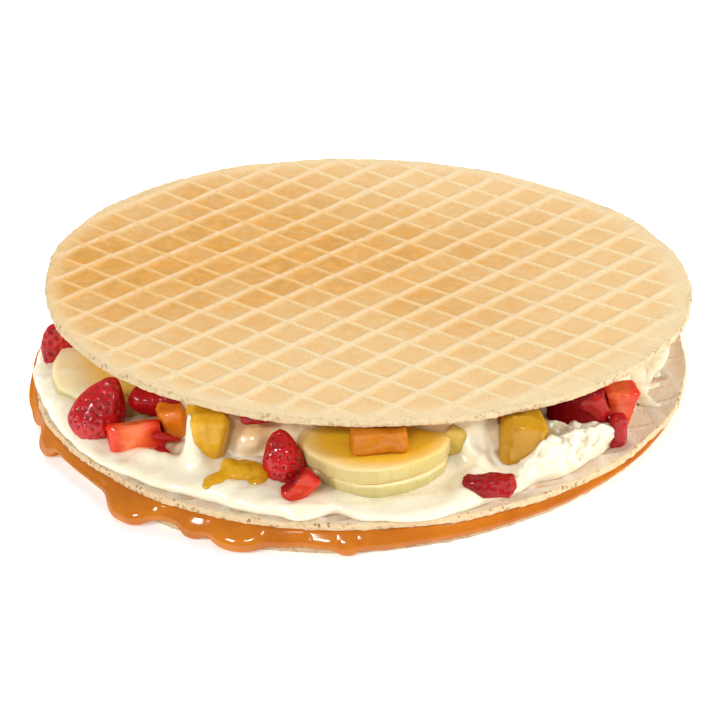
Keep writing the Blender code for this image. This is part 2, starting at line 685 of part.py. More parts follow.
def headroom(cutters):
    """A thick slab on the top wafer's underside, lowered by the gap."""
    lift = ABOVE_ALL - WAFER_THICKNESS - GAP
    bm = wafer_disc(lambda angle: WAFER_RADIUS + 2 * GAP, ABOVE_ALL, lift)
    slab = make_cutter("headroom", bm, cutters)
    bend_and_place(slab, top_bend, TOP_POSE)
    return slab


def make_fruit(parts, cutters, materials):
    """Every fruit piece; a piece that presses on an earlier one is cut round it."""
    slab = headroom(cutters)
    made = []
    for index, piece in enumerate(FRUIT):
        draw = random.Random(FRUIT_SEED + index)
        bm = MAKERS[piece.kind](piece.size, piece.cut, draw)
        settle(bm, piece)
        obj = make_object(piece.node, bm, parts, materials[piece.node.split("_")[0]])
        clean(obj, flatten=0.05)
        high = any(v.co.z > top_underside(v.co.x, v.co.y) - GAP for v in obj.data.vertices)
        if high:
            boolean(obj, slab)
        for other, shell in made:
            if near(obj, other):
                boolean(obj, shell)
        clean(obj, flatten=0.05)
        made.append((obj, swollen(obj, "round_" + piece.node, cutters)))
    bpy.data.objects.remove(slab)
    return made


def main():
    """Build the whole part."""
    for obj in list(bpy.data.objects):
        bpy.data.objects.remove(obj)
    parts = new_collection("filled_wafer")
    cutters = new_collection("cutters")
    materials = {name: make_material(name) for name in FINISHES}

    bottom_pose = Matrix.Translation((*BOTTOM_CENTRE, WAFER_THICKNESS))
    make_wafer("wafer_bottom", bottom_radius, materials["wafer"], parts, cutters, bottom_pose)
    make_caramel(parts, materials["caramel"])
    make_wafer(
        "wafer_middle",
        lambda angle: WAFER_RADIUS + wave(angle, 5, RIM_WAVE),
        materials["wafer"],
        parts,
        cutters,
        MIDDLE_POSE,
        lattice=MIDDLE_LATTICE,
        inner=MIDDLE_LATTICE_FROM,
    )
    cream = make_cream(parts, materials["cream"])
    for _, shell in make_fruit(parts, cutters, materials):
        if near(cream, shell):
            boolean(cream, shell)
    clean(cream)
    make_wafer(
        "wafer_top",
        lambda angle: WAFER_RADIUS + wave(angle, 7, RIM_WAVE),
        materials["wafer"],
        parts,
        cutters,
        TOP_POSE,
        bend=top_bend,
        lattice=TOP_LATTICE,
    )
    for obj in list(cutters.objects):
        bpy.data.objects.remove(obj)
    bpy.data.collections.remove(cutters)
    for obj in parts.objects:
        obj.data.shade_smooth()
        obj.data.set_sharp_from_angle(angle=math.radians(24.0))


main()
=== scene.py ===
"""Looks of a round filled wafer: three lattice wafers, caramel over the rim, cream and cut fruit.

Every piece stands over the solid that it replaces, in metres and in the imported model's frame:
+Z up through the layers, -Y towards the open front, +X to the right.
"""

import logging
import math
import random
from dataclasses import dataclass
from enum import Enum

import bmesh
import bpy
import numpy as np
from mathutils import Euler, Matrix, Vector, noise
from mathutils.bvhtree import BVHTree

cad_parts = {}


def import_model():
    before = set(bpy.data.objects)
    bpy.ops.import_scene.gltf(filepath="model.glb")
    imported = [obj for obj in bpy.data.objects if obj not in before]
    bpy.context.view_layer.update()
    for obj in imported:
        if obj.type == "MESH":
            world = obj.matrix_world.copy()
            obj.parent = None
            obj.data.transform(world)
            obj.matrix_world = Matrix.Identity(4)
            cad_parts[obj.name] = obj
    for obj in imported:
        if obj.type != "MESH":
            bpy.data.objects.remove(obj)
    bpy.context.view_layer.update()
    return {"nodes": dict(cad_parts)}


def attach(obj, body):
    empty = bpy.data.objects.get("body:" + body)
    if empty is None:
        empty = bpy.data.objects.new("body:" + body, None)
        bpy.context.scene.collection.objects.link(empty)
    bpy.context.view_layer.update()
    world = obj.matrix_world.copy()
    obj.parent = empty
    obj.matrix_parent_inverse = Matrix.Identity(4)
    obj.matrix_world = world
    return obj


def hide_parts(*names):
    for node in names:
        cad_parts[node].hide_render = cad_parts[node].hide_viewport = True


LOG = logging.getLogger("filled_wafer")
BODY = "root"

MM = 0.001
GAP = 0.3 * MM                      # air that the solids keep between each other
WAFER_RADIUS = 75.0 * MM
WAFER_THICKNESS = 1.7 * MM
RIM_WAVE = 0.28 * MM

Colour = tuple[float, float, float]
Triple = tuple[float, float, float]


class Slot(Enum):
    """The record's material slots."""

    WAFER = "wafer"
    CARAMEL = "caramel"
    CREAM = "cream"
    STRAWBERRY = "strawberry"
    BANANA = "banana"
    MANGO = "mango"
    PAPAYA = "papaya"


class Outside(Enum):
    """What a cut piece shows of the fruit's outside."""

    NONE = "none"
    TOP = "top"
    ALL = "all"


# ---- Meshes ----

def linked(name: str, data: bpy.types.ID) -> bpy.types.Object:
    """Put a mesh, lamp or camera in the scene as an object at the origin."""
    obj = bpy.data.objects.new(name, data)
    bpy.context.scene.collection.objects.link(obj)
    return obj


def mesh_of(name: str, points: np.ndarray, faces: list[tuple[int, ...]]) -> bpy.types.Mesh:
    """Make a smooth-shaded mesh.

    Args:
        name: The mesh's name.
        points: Vertex positions, one row each.
        faces: Vertex numbers of each face.

    Returns:
        The new mesh.
    """
    mesh = bpy.data.meshes.new(name)
    mesh.from_pydata(points.tolist(), [], faces)
    mesh.shade_smooth()
    return mesh


def mesh_from(bm: bmesh.types.BMesh, name: str) -> bpy.types.Mesh:
    """Turn an edited mesh into a plain one and free it.

    Args:
        bm: The edited mesh.
        name: The plain mesh's name.

    Returns:
        The plain mesh.
    """
    mesh = bpy.data.meshes.new(name)
    bm.to_mesh(mesh)
    bm.free()
    return mesh


def points_of(mesh: bpy.types.Mesh) -> np.ndarray:
    """Read a mesh's vertex positions as rows."""
    flat = np.empty(len(mesh.vertices) * 3)
    mesh.vertices.foreach_get("co", flat)
    return flat.reshape(-1, 3)


def normals_of(mesh: bpy.types.Mesh) -> np.ndarray:
    """Read a mesh's vertex normals as rows."""
    flat = np.empty(len(mesh.vertices) * 3)
    mesh.vertex_normals.foreach_get("vector", flat)
    return flat.reshape(-1, 3)


def move_points(mesh: bpy.types.Mesh, points: np.ndarray) -> None:
    """Write a mesh's vertex positions."""
    mesh.vertices.foreach_set("co", points.astype(np.float32).ravel())
    mesh.update()


def store(mesh: bpy.types.Mesh, name: str, values: np.ndarray) -> None:
    """Keep one number for each vertex under a name, for the materials to read."""
    attribute = mesh.attributes.get(name) or mesh.attributes.new(name, "FLOAT", "POINT")
    attribute.data.foreach_set("value", values.astype(np.float32))


def baked(obj: bpy.types.Object) -> bpy.types.Mesh:
    """Turn what an object's modifiers make into its plain mesh.

    Args:
        obj: The object, whose modifiers are removed.

    Returns:
        The object's new mesh.
    """
    depsgraph = bpy.context.evaluated_depsgraph_get()
    mesh = bpy.data.meshes.new_from_object(obj.evaluated_get(depsgraph))
    obj.modifiers.clear()
    obj.data = mesh
    mesh.name = obj.name
    return mesh


def remeshed(obj: bpy.types.Object, voxel: float, rounds: int) -> bpy.types.Mesh:
    """Give an object an even fine mesh and soften its edges.

    Args:
        obj: The object.
        voxel: The new mesh's grid, in metres.
        rounds: How often the edges are softened.

    Returns:
        The object's new mesh.
    """
    remesh = obj.modifiers.new("remesh", "REMESH")
    remesh.mode = "VOXEL"
    remesh.voxel_size = voxel
    soften = obj.modifiers.new("soften", "SMOOTH")
    soften.factor = 0.5
    soften.iterations = rounds
    mesh = baked(obj)
    mesh.shade_smooth()
    return mesh


def roughness_at(points: np.ndarray, size: float, seed: float) -> np.ndarray:
    """Smooth noise over a set of points.

    Args:
        points: Positions, one row each.
        size: Width of one bump, in metres.
        seed: A number that picks another pattern.

    Returns:
        One value from -1 to 1 for each point.
    """
    offset = Vector((seed * 3.7, seed * 1.3, seed * 2.1))
    scaled = points / size
    return np.array([noise.noise(Vector(row) + offset) for row in scaled])


def swell(mesh: bpy.types.Mesh, *rounds: tuple[float, float, int]) -> None:
    """Push a mesh's points in and out along their normals by smooth noise.

    Args:
        mesh: The mesh.
        *rounds: Width and largest move of the bumps in millimetres, and a number that picks a pattern.
    """
    for size, amount, seed in rounds:
        points = points_of(mesh)
        shift = roughness_at(points, size * MM, seed) * (amount * MM)
        move_points(mesh, points + normals_of(mesh) * shift[:, None])


def merged_copy(node: bpy.types.Object, name: str) -> bpy.types.Object:
    """Copy a solid of the frame and weld its loose triangles.

    Args:
        node: The frame's object.
        name: The copy's name.

    Returns:
        The copy, linked to the scene.
    """
    bm = bmesh.new()
    bm.from_mesh(node.data)
    bmesh.ops.remove_doubles(bm, verts=bm.verts[:], dist=0.002 * MM)
    return linked(name, mesh_from(bm, name))


def dress(mesh: bpy.types.Mesh, material: bpy.types.Material) -> None:
    """Give a whole mesh one material."""
    mesh.materials.clear()
    mesh.materials.append(material)


def rows(x: np.ndarray, y: np.ndarray, z: np.ndarray) -> np.ndarray:
    """Points, one row each, from their three coordinates."""
    return np.stack([x, y, z], axis=-1).reshape(-1, 3)


def moved(points: np.ndarray, matrix: Matrix) -> np.ndarray:
    """Points moved by a matrix."""
    move = np.array(matrix)
    return points @ move[:3, :3].T + move[:3, 3]


def headings(x: np.ndarray, y: np.ndarray) -> np.ndarray:
    """The direction in degrees in which each place lies from the middle."""
    return np.degrees(np.arctan2(y, x))


def from_middle(points: np.ndarray, middle: tuple[float, float] = (0.0, 0.0)) -> np.ndarray:
    """How far points lie from an upright axis through a place in millimetres."""
    return np.hypot(points[:, 0] - middle[0] * MM, points[:, 1] - middle[1] * MM)


def settle(obj: bpy.types.Object, slot: Slot, *nodes: str) -> None:
    """Hang a finished piece on the part's body and let it stand for its solids.

    Args:
        obj: The piece.
        slot: Its material slot in the record; not used.
        *nodes: The solids that it replaces.
    """
    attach(obj, BODY)
    if nodes:
        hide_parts(*nodes)
    LOG.info("%s: %d faces", obj.name, len(obj.data.polygons))


# ---- Rules that the shapes share ----

def smoothstep(x: np.ndarray) -> np.ndarray:
    """Ease from 0 to 1 as x goes from 0 to 1."""
    x = np.clip(x, 0.0, 1.0)
    return x * x * (3.0 - 2.0 * x)


def angle_gap(angles: np.ndarray, centre: float) -> np.ndarray:
    """Degrees from a direction to each angle, -180 to 180."""
    return (angles - centre + 180.0) % 360.0 - 180.0


def bump(angles: np.ndarray, centre: float, width: float, power: float = 2.0) -> np.ndarray:
    """Rise to 1 at a direction and fall to 0 beside it; a higher power falls more steeply."""
    return np.exp(-np.abs(angle_gap(angles, centre) / width) ** power)


def wave(angles: np.ndarray, seed: int, size: float) -> np.ndarray:
    """Wander slightly round the part, closing on itself.

    Args:
        angles: Directions in degrees.
        seed: Which wandering.
        size: Its size in metres.

    Returns:
        One offset for each direction.
    """
    draw = random.Random(seed)
    total = np.zeros_like(angles)
    for turns in (3, 5, 8, 13, 21):
        total += np.sin(np.radians(turns * angles) + draw.uniform(0.0, math.tau)) / 2.2
    return size * total


def spline_basis(controls: int, samples: int) -> np.ndarray:
    """Weights of a clamped cubic B-spline.

    Args:
        controls: How many control points it has.
        samples: How many points are read from it.

    Returns:
        A matrix with a row for each sample and a column for each control point.
    """
    knots = np.concatenate([np.zeros(3), np.linspace(0.0, 1.0, controls - 2), np.ones(3)])
    at = np.linspace(0.0, 1.0 - 1e-9, samples)
    basis = ((at[:, None] >= knots[None, :-1]) & (at[:, None] < knots[None, 1:])).astype(float)
    for degree in (1, 2, 3):
        count = basis.shape[1] - 1
        rise = knots[degree:degree + count] - knots[:count]
        fall = knots[degree + 1:degree + 1 + count] - knots[1:1 + count]
        left = np.divide(at[:, None] - knots[:count], rise, out=np.zeros((samples, count)), where=rise > 0)
        right = np.divide(
            knots[degree + 1:degree + 1 + count] - at[:, None], fall,
            out=np.zeros((samples, count)), where=fall > 0,
        )
        basis = left * basis[:, :-1] + right * basis[:, 1:]
    return basis


def outlined(*pairs: tuple[np.ndarray, np.ndarray]) -> np.ndarray:
    """Stack an outline's points, each a radius and a height in every direction."""
    return np.stack([np.stack(pair, axis=-1) for pair in pairs], axis=1)


def swept(angles: np.ndarray, sections: np.ndarray,
          samples: int) -> tuple[np.ndarray, np.ndarray, np.ndarray]:
    """Sweep a smooth outline round the part.

    Args:
        angles: Directions in degrees.
        sections: The outline's control points in each direction, from outlined().
        samples: How many points are read from each outline.

    Returns:
        X, Y, and the pairs of radius and height, by sample and direction.
    """
    curve = np.einsum("sc,acp->sap", spline_basis(sections.shape[1], samples), sections)
    turn = np.radians(angles)
    return curve[..., 0] * np.cos(turn), curve[..., 0] * np.sin(turn), curve


def ring_faces(rings: int, steps: int) -> list[tuple[int, ...]]:
    """Faces of a closed loft through rings of points, with its first and last ring capped.

    Args:
        rings: How many rings, from the bottom to the top.
        steps: Points in a ring, anticlockwise from above.

    Returns:
        Vertex numbers of each face.
    """
    faces = []
    for ring in range(rings - 1):
        low = ring * steps
        high = low + steps
        for i in range(steps):
            j = (i + 1) % steps
            faces.append((low + i, low + j, high + j, high + i))
    faces.append(tuple(reversed(range(steps))))
    faces.append(tuple(range((rings - 1) * steps, rings * steps)))
    return faces


@dataclass(frozen=True)
class Lie:
    """How a wafer lies: the middle of its top face in millimetres, and its tilt about X, then Y."""

    centre: Triple
    tilt: tuple[float, float] = (0.0, 0.0)

    def matrix(self) -> Matrix:
        """The move from the wafer's own frame to the part's."""
        about_x = Matrix.Rotation(math.radians(self.tilt[0]), 4, "X")
        about_y = Matrix.Rotation(math.radians(self.tilt[1]), 4, "Y")
        return Matrix.Translation(Vector(self.centre) * MM) @ about_y @ about_x

    def height(self, x: np.ndarray, y: np.ndarray, offset: float = 0.0) -> np.ndarray:
        """Height of the top face's plane.

        Args:
            x: Places along X.
            y: Places along Y.
            offset: How far the plane is moved along its normal.

        Returns:
            A height for each place.
        """
        matrix = self.matrix()
        normal = matrix.to_3x3() @ Vector((0.0, 0.0, 1.0))
        centre = matrix.translation + normal * offset
        return centre.z - (normal.x * (x - centre.x) + normal.y * (y - centre.y)) / normal.z

    def place(self, points: np.ndarray) -> np.ndarray:
        """Move points from the wafer's own frame to the part's."""
        return moved(points, self.matrix())


@dataclass(frozen=True)
class Bend:
    """How a thin wafer bends out of its plane."""

    bowl: float = 0.9 * MM
    twist: float = -0.72 * MM
    curl: float = 0.85 * MM
    curl_angle: float = 45.0

    def lift(self, x: np.ndarray, y: np.ndarray) -> np.ndarray:
        """How far it bends at places in its own frame.

        Args:
            x: The places' first coordinate.
            y: Their second.

        Returns:
            The lift in metres at each place.
        """
        u = x / WAFER_RADIUS
        v = y / WAFER_RADIUS
        direction = math.radians(self.curl_angle)
        along = u * math.cos(direction) + v * math.sin(direction)
        square = u * u + v * v
        return self.bowl * square + self.twist * u * v + self.curl * square * along


BOTTOM_LIE = Lie((-1.35, 0.1, 1.7))
MIDDLE_LIE = Lie((0.85, -0.05, 6.0), (-0.9, 1.2))
TOP_LIE = Lie((3.3, 12.4, 18.9), (-4.2, 4.1))
TOP_BEND = Bend()
WORN_ANGLE = -154.0                 # the bottom wafer's rim is worn back here
WORN_SPREAD = 32.0
WORN_DEPTH = 3.9 * MM
UNDER_TOP = 0.06 * MM               # air under the top wafer
COVERED_MARGIN = 0.6 * MM           # how far past its rim the top wafer holds things down


def top_underside(x: np.ndarray, y: np.ndarray) -> np.ndarray:
    """Height of the top wafer's underside over each place."""
    flat = np.stack([x, y, TOP_LIE.height(x, y)], axis=-1)
    local = moved(flat, TOP_LIE.matrix().inverted())
    return TOP_LIE.height(x, y, -WAFER_THICKNESS) + TOP_BEND.lift(local[..., 0], local[..., 1])


def bottom_radius(angles: np.ndarray) -> np.ndarray:
    """The bottom wafer's rim about its own centre."""
    worn = WORN_DEPTH * bump(angles, WORN_ANGLE, WORN_SPREAD)
    return WAFER_RADIUS - worn + wave(angles, 3, 0.5 * RIM_WAVE)


def keep_under_top(mesh: bpy.types.Mesh) -> None:
    """Press down whatever of a mesh would stand through the top wafer.

    Args:
        mesh: The mesh.
    """
    points = points_of(mesh)
    away = from_middle(points, TOP_LIE.centre[:2])
    ceiling = top_underside(points[:, 0], points[:, 1]) - UNDER_TOP
    covered = away < WAFER_RADIUS + COVERED_MARGIN
    points[:, 2] = np.where(covered, np.minimum(points[:, 2], ceiling), points[:, 2])
    move_points(mesh, points)


@dataclass(frozen=True)
class Ball:
    """A soft lump: its middle (x, y, height over the middle wafer), half sizes and turn in degrees."""

    at: Triple
    size: Triple
    turn: Triple = (0.0, 0.0, 0.0)

    def matrix(self) -> Matrix:
        """The move from a unit ball to the lump.

        Returns:
            Its place, turn and size in one matrix.
        """
        x, y, height = (value * MM for value in self.at)
        place = Matrix.Translation((x, y, float(MIDDLE_LIE.height(x, y)) + height))
        turn = Euler([math.radians(a) for a in self.turn]).to_matrix().to_4x4()
        return place @ turn @ Matrix.Diagonal((*(value * MM for value in self.size), 1.0))


def melted(name: str, balls: tuple[Ball, ...], voxel: float, rounds: int,
           fill: float = 0.5 * MM) -> bpy.types.Object:
    """Melt lumps together into one soft piece.

    Args:
        name: The piece's name.
        balls: The lumps.
        voxel: The mesh's grid, in metres.
        rounds: How often the joins are softened.
        fill: How wide the hollows are that fill up between the lumps, in metres.

    Returns:
        The piece, linked to the scene.
    """
    bm = bmesh.new()
    for ball in balls:
        made = bmesh.ops.create_icosphere(bm, subdivisions=3, radius=1.0)
        bmesh.ops.transform(bm, matrix=ball.matrix(), verts=made["verts"])
    obj = linked(name, mesh_from(bm, name))
    for softening, growth in ((2, fill), (rounds, -fill)):
        mesh = remeshed(obj, voxel, softening)
        move_points(mesh, points_of(mesh) + growth * normals_of(mesh))
    return obj


# ---- Node trees ----

class Wiring:
    """Adds nodes to a tree and links them, in the order in which they are read."""

    def __init__(self, tree: bpy.types.NodeTree) -> None:
        """Start on the tree to fill."""
        self.tree = tree

    def add(self, kind: str, inputs: dict | None = None, **settings: object) -> bpy.types.Node:
        """Add a node.

        Args:
            kind: Its Blender type.
            inputs: Values or output sockets for its inputs, by name or number.
            **settings: The node's own properties.

        Returns:
            The node.
        """
        node = self.tree.nodes.new(kind)
        for name, value in settings.items():
            setattr(node, name, value)
        self.fill(node, inputs or {})
        return node

    def fill(self, node: bpy.types.Node, inputs: dict) -> None:
        """Link or set a node's inputs, each by its name or number.

        Args:
            node: The node.
            inputs: What each input is linked or set to.
        """
        for key, value in inputs.items():
            socket = node.inputs[key]
            if isinstance(value, bpy.types.NodeSocket):
                self.tree.links.new(value, socket)
            else:
                socket.default_value = (*value, 1.0) if socket.type == "RGBA" else value

    def maths(self, operation: str, a: object, b: object, clamp: bool = False) -> bpy.types.NodeSocket:
        """A sum, product or other operation on two numbers."""
        return self.add("ShaderNodeMath", {0: a, 1: b}, operation=operation, use_clamp=clamp).outputs[0]

    def times(self, a: object, b: object) -> bpy.types.NodeSocket:
        """The product of two numbers."""
        return self.maths("MULTIPLY", a, b)

    def ramp(self, value: object, low: object, high: object, to_low: float = 0.0,
             to_high: float = 1.0) -> bpy.types.NodeSocket:
        """Map a value smoothly from one range to another, held at both ends."""
        inputs = {"Value": value, "From Min": low, "From Max": high, "To Min": to_low, "To Max": to_high}
        return self.add("ShaderNodeMapRange", inputs, interpolation_type="SMOOTHSTEP").outputs["Result"]

    def blend(self, share: object, first: object, second: object) -> bpy.types.NodeSocket:
        """Mix two colours by a share."""
        return self.add("ShaderNodeMix", {0: share, 6: first, 7: second}, data_type="RGBA").outputs[2]

    def upwards(self, height: bpy.types.NodeSocket) -> bpy.types.NodeSocket:
        """A vector that points up by a height."""
        return self.add("ShaderNodeCombineXYZ", {2: height}).outputs[0]

    def attribute(self, name: str) -> bpy.types.NodeSocket:
        """The number that each vertex keeps under a name."""
        return self.add("ShaderNodeAttribute", attribute_name=name).outputs["Fac"]


def new_group(name: str, inputs: dict[str, float], output: str) -> tuple[Wiring, bpy.types.Node]:
    """Start a shader group with a vector and some numbers as inputs.

    Args:
        name: The group's name.
        inputs: Its number inputs and their usual values.
        output: Its number output.

    Returns:
        The wiring of the group and its input node.
    """
    tree = bpy.data.node_groups.new(name, "ShaderNodeTree")
    tree.interface.new_socket("Vector", in_out="INPUT", socket_type="NodeSocketVector")
    for key, value in inputs.items():
        socket = tree.interface.new_socket(key, in_out="INPUT", socket_type="NodeSocketFloat")
        socket.default_value = value
    tree.interface.new_socket(output, in_out="OUTPUT", socket_type="NodeSocketFloat")
    return Wiring(tree), tree.nodes.new("NodeGroupInput")


def mottle_group() -> bpy.types.NodeTree:
    """Cloudy variation from 0 to 1, for colour and roughness.

    Returns:
        The group.
    """
    wiring, start = new_group("mottle", {"Scale": 300.0, "Low": 0.35, "High": 0.65}, "Share")
    given = start.outputs
    cloud = wiring.add("ShaderNodeTexNoise", {
        "Vector": given["Vector"], "Scale": given["Scale"], "Detail": 3.0, "Roughness": 0.55,
    })
    share = wiring.add("ShaderNodeMapRange", {
        "Value": cloud.outputs["Fac"], "From Min": given["Low"], "From Max": given["High"],
    })
    wiring.add("NodeGroupOutput", {"Share": share.outputs["Result"]})
    return wiring.tree


def speck_group() -> bpy.types.NodeTree:
    """Scattered specks: 1 inside a speck and 0 outside.

    Returns:
        The group.
    """
    wiring, start = new_group("specks", {"Scale": 400.0, "Size": 0.2, "Share": 0.2}, "Mask")
    given = start.outputs
    cells = wiring.add("ShaderNodeTexVoronoi", {"Vector": given["Vector"], "Scale": given["Scale"]})
    ragged = wiring.add("ShaderNodeTexNoise", {
        "Vector": given["Vector"], "Scale": wiring.times(given["Scale"], 4.0),
    })
    reach = wiring.times(given["Size"], wiring.times(ragged.outputs["Fac"], 2.0))
    inside = wiring.maths("LESS_THAN", cells.outputs["Distance"], reach)
    tone = wiring.add("ShaderNodeSeparateColor", {0: cells.outputs["Color"]})
    chosen = wiring.maths("LESS_THAN", tone.outputs[0], given["Share"])
    wiring.add("NodeGroupOutput", {"Mask": wiring.times(inside, chosen)})
    return wiring.tree


class Effects:
    """The shader groups that several finishes share, each built once."""

    def __init__(self) -> None:
        """Build the groups."""
        self.mottle = mottle_group()
        self.specks = speck_group()


class Surface:
    """A material under construction: its wiring, its shader and its object coordinates."""

    def __init__(self, name: str, effects: Effects) -> None:
        """Start a material.

        Args:
            name: The material's name.
            effects: The shared shader groups.
        """
        self.material = bpy.data.materials.new(name)
        self.material.use_nodes = True
        self.effects = effects
        self.wiring = Wiring(self.material.node_tree)
        self.shader = self.material.node_tree.nodes["Principled BSDF"]
        self.place = self.wiring.add("ShaderNodeTexCoord").outputs["Object"]

    def effect(self, tree: bpy.types.NodeTree, size: float, **values: float) -> bpy.types.NodeSocket:
        """What a shared group puts out on the object's coordinates, with cells so many metres wide."""
        inputs = {"Vector": self.place, "Scale": 1.0 / size, **values}
        return self.wiring.add("ShaderNodeGroup", inputs, node_tree=tree).outputs[0]

    def mottle(self, size: float, low: float = 0.35, high: float = 0.65) -> bpy.types.NodeSocket:
        """Cloudy variation whose clouds are about so many metres wide."""
        return self.effect(self.effects.mottle, size, Low=low, High=high)

    def specks(self, spacing: float, size: float, share: float) -> bpy.types.NodeSocket:
        """Scattered specks so far apart, of a size and a share of the places."""
        return self.effect(self.effects.specks, spacing, Size=size, Share=share)

    def sheen(self, start: float = 0.4, full: float = 1.0, least: float = 0.1) -> bpy.types.NodeSocket:
        """A wet coat's weight: full where the surface faces the eye, fading to the least at the outline."""
        slant = self.wiring.add("ShaderNodeLayerWeight", {"Blend": 0.5}).outputs["Facing"]
        return self.wiring.ramp(slant, start, 0.85, full, least)

    def set(self, **values: object) -> None:
        """Set or link the shader's sockets, named with _ for a space."""
        self.wiring.fill(self.shader, {key.replace("_", " "): value for key, value in values.items()})

    def glow(self, weight: float, depth: float, radius: Triple) -> None:
        """Let a share of the light pass so many metres deep, each colour a share of that."""
        self.set(Subsurface_Weight=weight, Subsurface_Scale=depth, Subsurface_Radius=radius)

    def relief(self, height: bpy.types.NodeSocket, depth: float, strength: float = 1.0) -> None:
        """Give the surface a fine relief that is too small for its mesh."""
        inputs = {"Height": height, "Distance": depth, "Strength": strength}
        self.set(Normal=self.wiring.add("ShaderNodeBump", inputs).outputs["Normal"])


# ---- Finishes ----

@dataclass(frozen=True)
class Finish:
    """What every finish has: a name, and a paint method that wires its looks."""

    name: str

    def material(self, effects: Effects) -> bpy.types.Material:
        """Build the material.

        Args:
            effects: The shared shader groups.

        Returns:
            The material.
        """
        surface = Surface(self.name, effects)
        self.paint(surface, surface.wiring)
        return surface.material


@dataclass(frozen=True)
class WaferFinish(Finish):
    """Dry baked wafer: pale ridges and warmer pressed cells, more toasted in some places than others, with
    painted shade in each cell just past a narrow ridge.
    """

    ridge: Colour = (1.0, 0.87, 0.56)
    ridge_warm: Colour = (0.93, 0.60, 0.25)
    cell: Colour = (0.94, 0.68, 0.36)
    cell_warm: Colour = (0.70, 0.355, 0.09)
    # this toasted colour also paints the shade in each cell just past a narrow ridge
    toast_and_shade: Colour = (0.90, 0.42, 0.08)
    blush: Colour = (1.0, 0.76, 0.52)
    edge: Colour = (0.86, 0.68, 0.42)
    speck: Colour = (0.30, 0.17, 0.05)
    pit: Colour = (0.40, 0.19, 0.06)
    pitted: float = 0.5
    rusty: float = 0.3              # how brown the porous rim is in places

    def paint(self, surface: Surface, wiring: Wiring) -> None:
        """Wire the wafer's looks from the attributes press, tone, bake, crest, behind and edge; behind
        carries painted shade.

        Args:
            surface: The material under construction.
            wiring: Its wiring.
        """
        press, tone, bake, crest, behind, edge = (
            wiring.attribute(name) for name in ("press", "tone", "bake", "crest", "behind", "edge")
        )
        times = wiring.times
        mottle = surface.mottle
        grain = mottle(0.6 * MM, 0.3, 0.7)
        pits = times(times(surface.specks(1.0 * MM, 0.4, 0.55), edge), mottle(6 * MM, 0.44, 0.58))
        ridge = wiring.blend(bake, self.ridge, self.ridge_warm)
        ridge = wiring.blend(times(crest, times(mottle(1.8 * MM, 0.35, 0.6), 0.9)), ridge, self.blush)
        baked_cell = wiring.maths("MULTIPLY", bake, wiring.maths("ADD", tone, 0.72), clamp=True)
        cell = wiring.blend(baked_cell, self.cell, self.cell_warm)
        cell = wiring.blend(times(times(mottle(4.5 * MM, 0.42, 0.66), bake), 0.65), cell, self.toast_and_shade)
        colour = wiring.blend(press, ridge, cell)
        for mask, strength, tint in (
            # painted shade in the recess just past each narrow ridge, in the toasted colour
            (times(behind, press), 0.75, self.toast_and_shade),
            (mottle(2.4 * MM, 0.45, 0.7), 0.18, self.ridge),
            (grain, 0.25, self.toast_and_shade),
            (edge, 0.85, self.edge),
            (times(mottle(1.3 * MM, 0.45, 0.75), edge), self.rusty, self.toast_and_shade),
            (pits, self.pitted, self.pit),
            (surface.specks(2.2 * MM, 0.05, 0.2), 0.6, self.speck),
        ):
            colour = wiring.blend(times(mask, strength), colour, tint)
        roughness = wiring.ramp(grain, 0.0, 1.0, 0.6, 0.8)
        surface.set(Base_Color=colour, Roughness=roughness, Specular_IOR_Level=0.15)
        surface.glow(0.12, 1.2 * MM, (1.0, 0.7, 0.4))
        height = wiring.maths("ADD", wiring.maths("ADD", grain, times(pits, -1.5)), mottle(0.3 * MM))
        surface.relief(height, 0.17 * MM, 0.9)


@dataclass(frozen=True)
class CaramelFinish(Finish):
    """Thick glossy caramel."""

    name: str = "caramel_glossy"
    light: Colour = (0.60, 0.185, 0.006)
    dark: Colour = (0.44, 0.115, 0.004)

    def paint(self, surface: Surface, wiring: Wiring) -> None:
        """Wire the caramel's looks.

        Args:
            surface: The material under construction.
            wiring: Its wiring.
        """
        surface.set(
            Base_Color=wiring.blend(surface.mottle(9 * MM, 0.3, 0.7), self.dark, self.light),
            Roughness=0.3,
            Specular_IOR_Level=0.0,
            Coat_Weight=surface.sheen(start=0.45, least=0.0),
            Coat_Roughness=0.11,
            Coat_IOR=1.5,
        )
        surface.glow(0.2, 1.0 * MM, (1.0, 0.3, 0.05))
        surface.relief(surface.mottle(4.5 * MM, 0.2, 0.8), 0.12 * MM, 0.15)


@dataclass(frozen=True)
class CreamFinish(Finish):
    """Smooth whipped cream with a soft wet sheen."""

    name: str = "cream_whipped"
    light: Colour = (0.935, 0.85, 0.655)
    shade: Colour = (0.91, 0.81, 0.60)
    # painted warm shade under the top wafer, and fruit staining in one place
    stain_and_shade: Colour = (0.88, 0.52, 0.17)

    def paint(self, surface: Surface, wiring: Wiring) -> None:
        """Wire the cream's looks from the attribute that carries its staining and its painted warm shade
        under the top wafer.

        Args:
            surface: The material under construction.
            wiring: Its wiring.
        """
        colour = wiring.blend(surface.mottle(12 * MM, 0.4, 0.7), self.light, self.shade)
        surface.set(
            Base_Color=wiring.blend(wiring.attribute("stain_and_shade"), colour, self.stain_and_shade),
            Roughness=wiring.ramp(surface.mottle(3 * MM), 0.0, 1.0, 0.2, 0.36),
            Coat_Weight=0.5,
            Coat_Roughness=0.12,
        )
        surface.glow(0.45, 2.2 * MM, (1.0, 0.75, 0.45))
        surface.relief(surface.mottle(3.0 * MM, 0.2, 0.8), 0.22 * MM, 0.5)


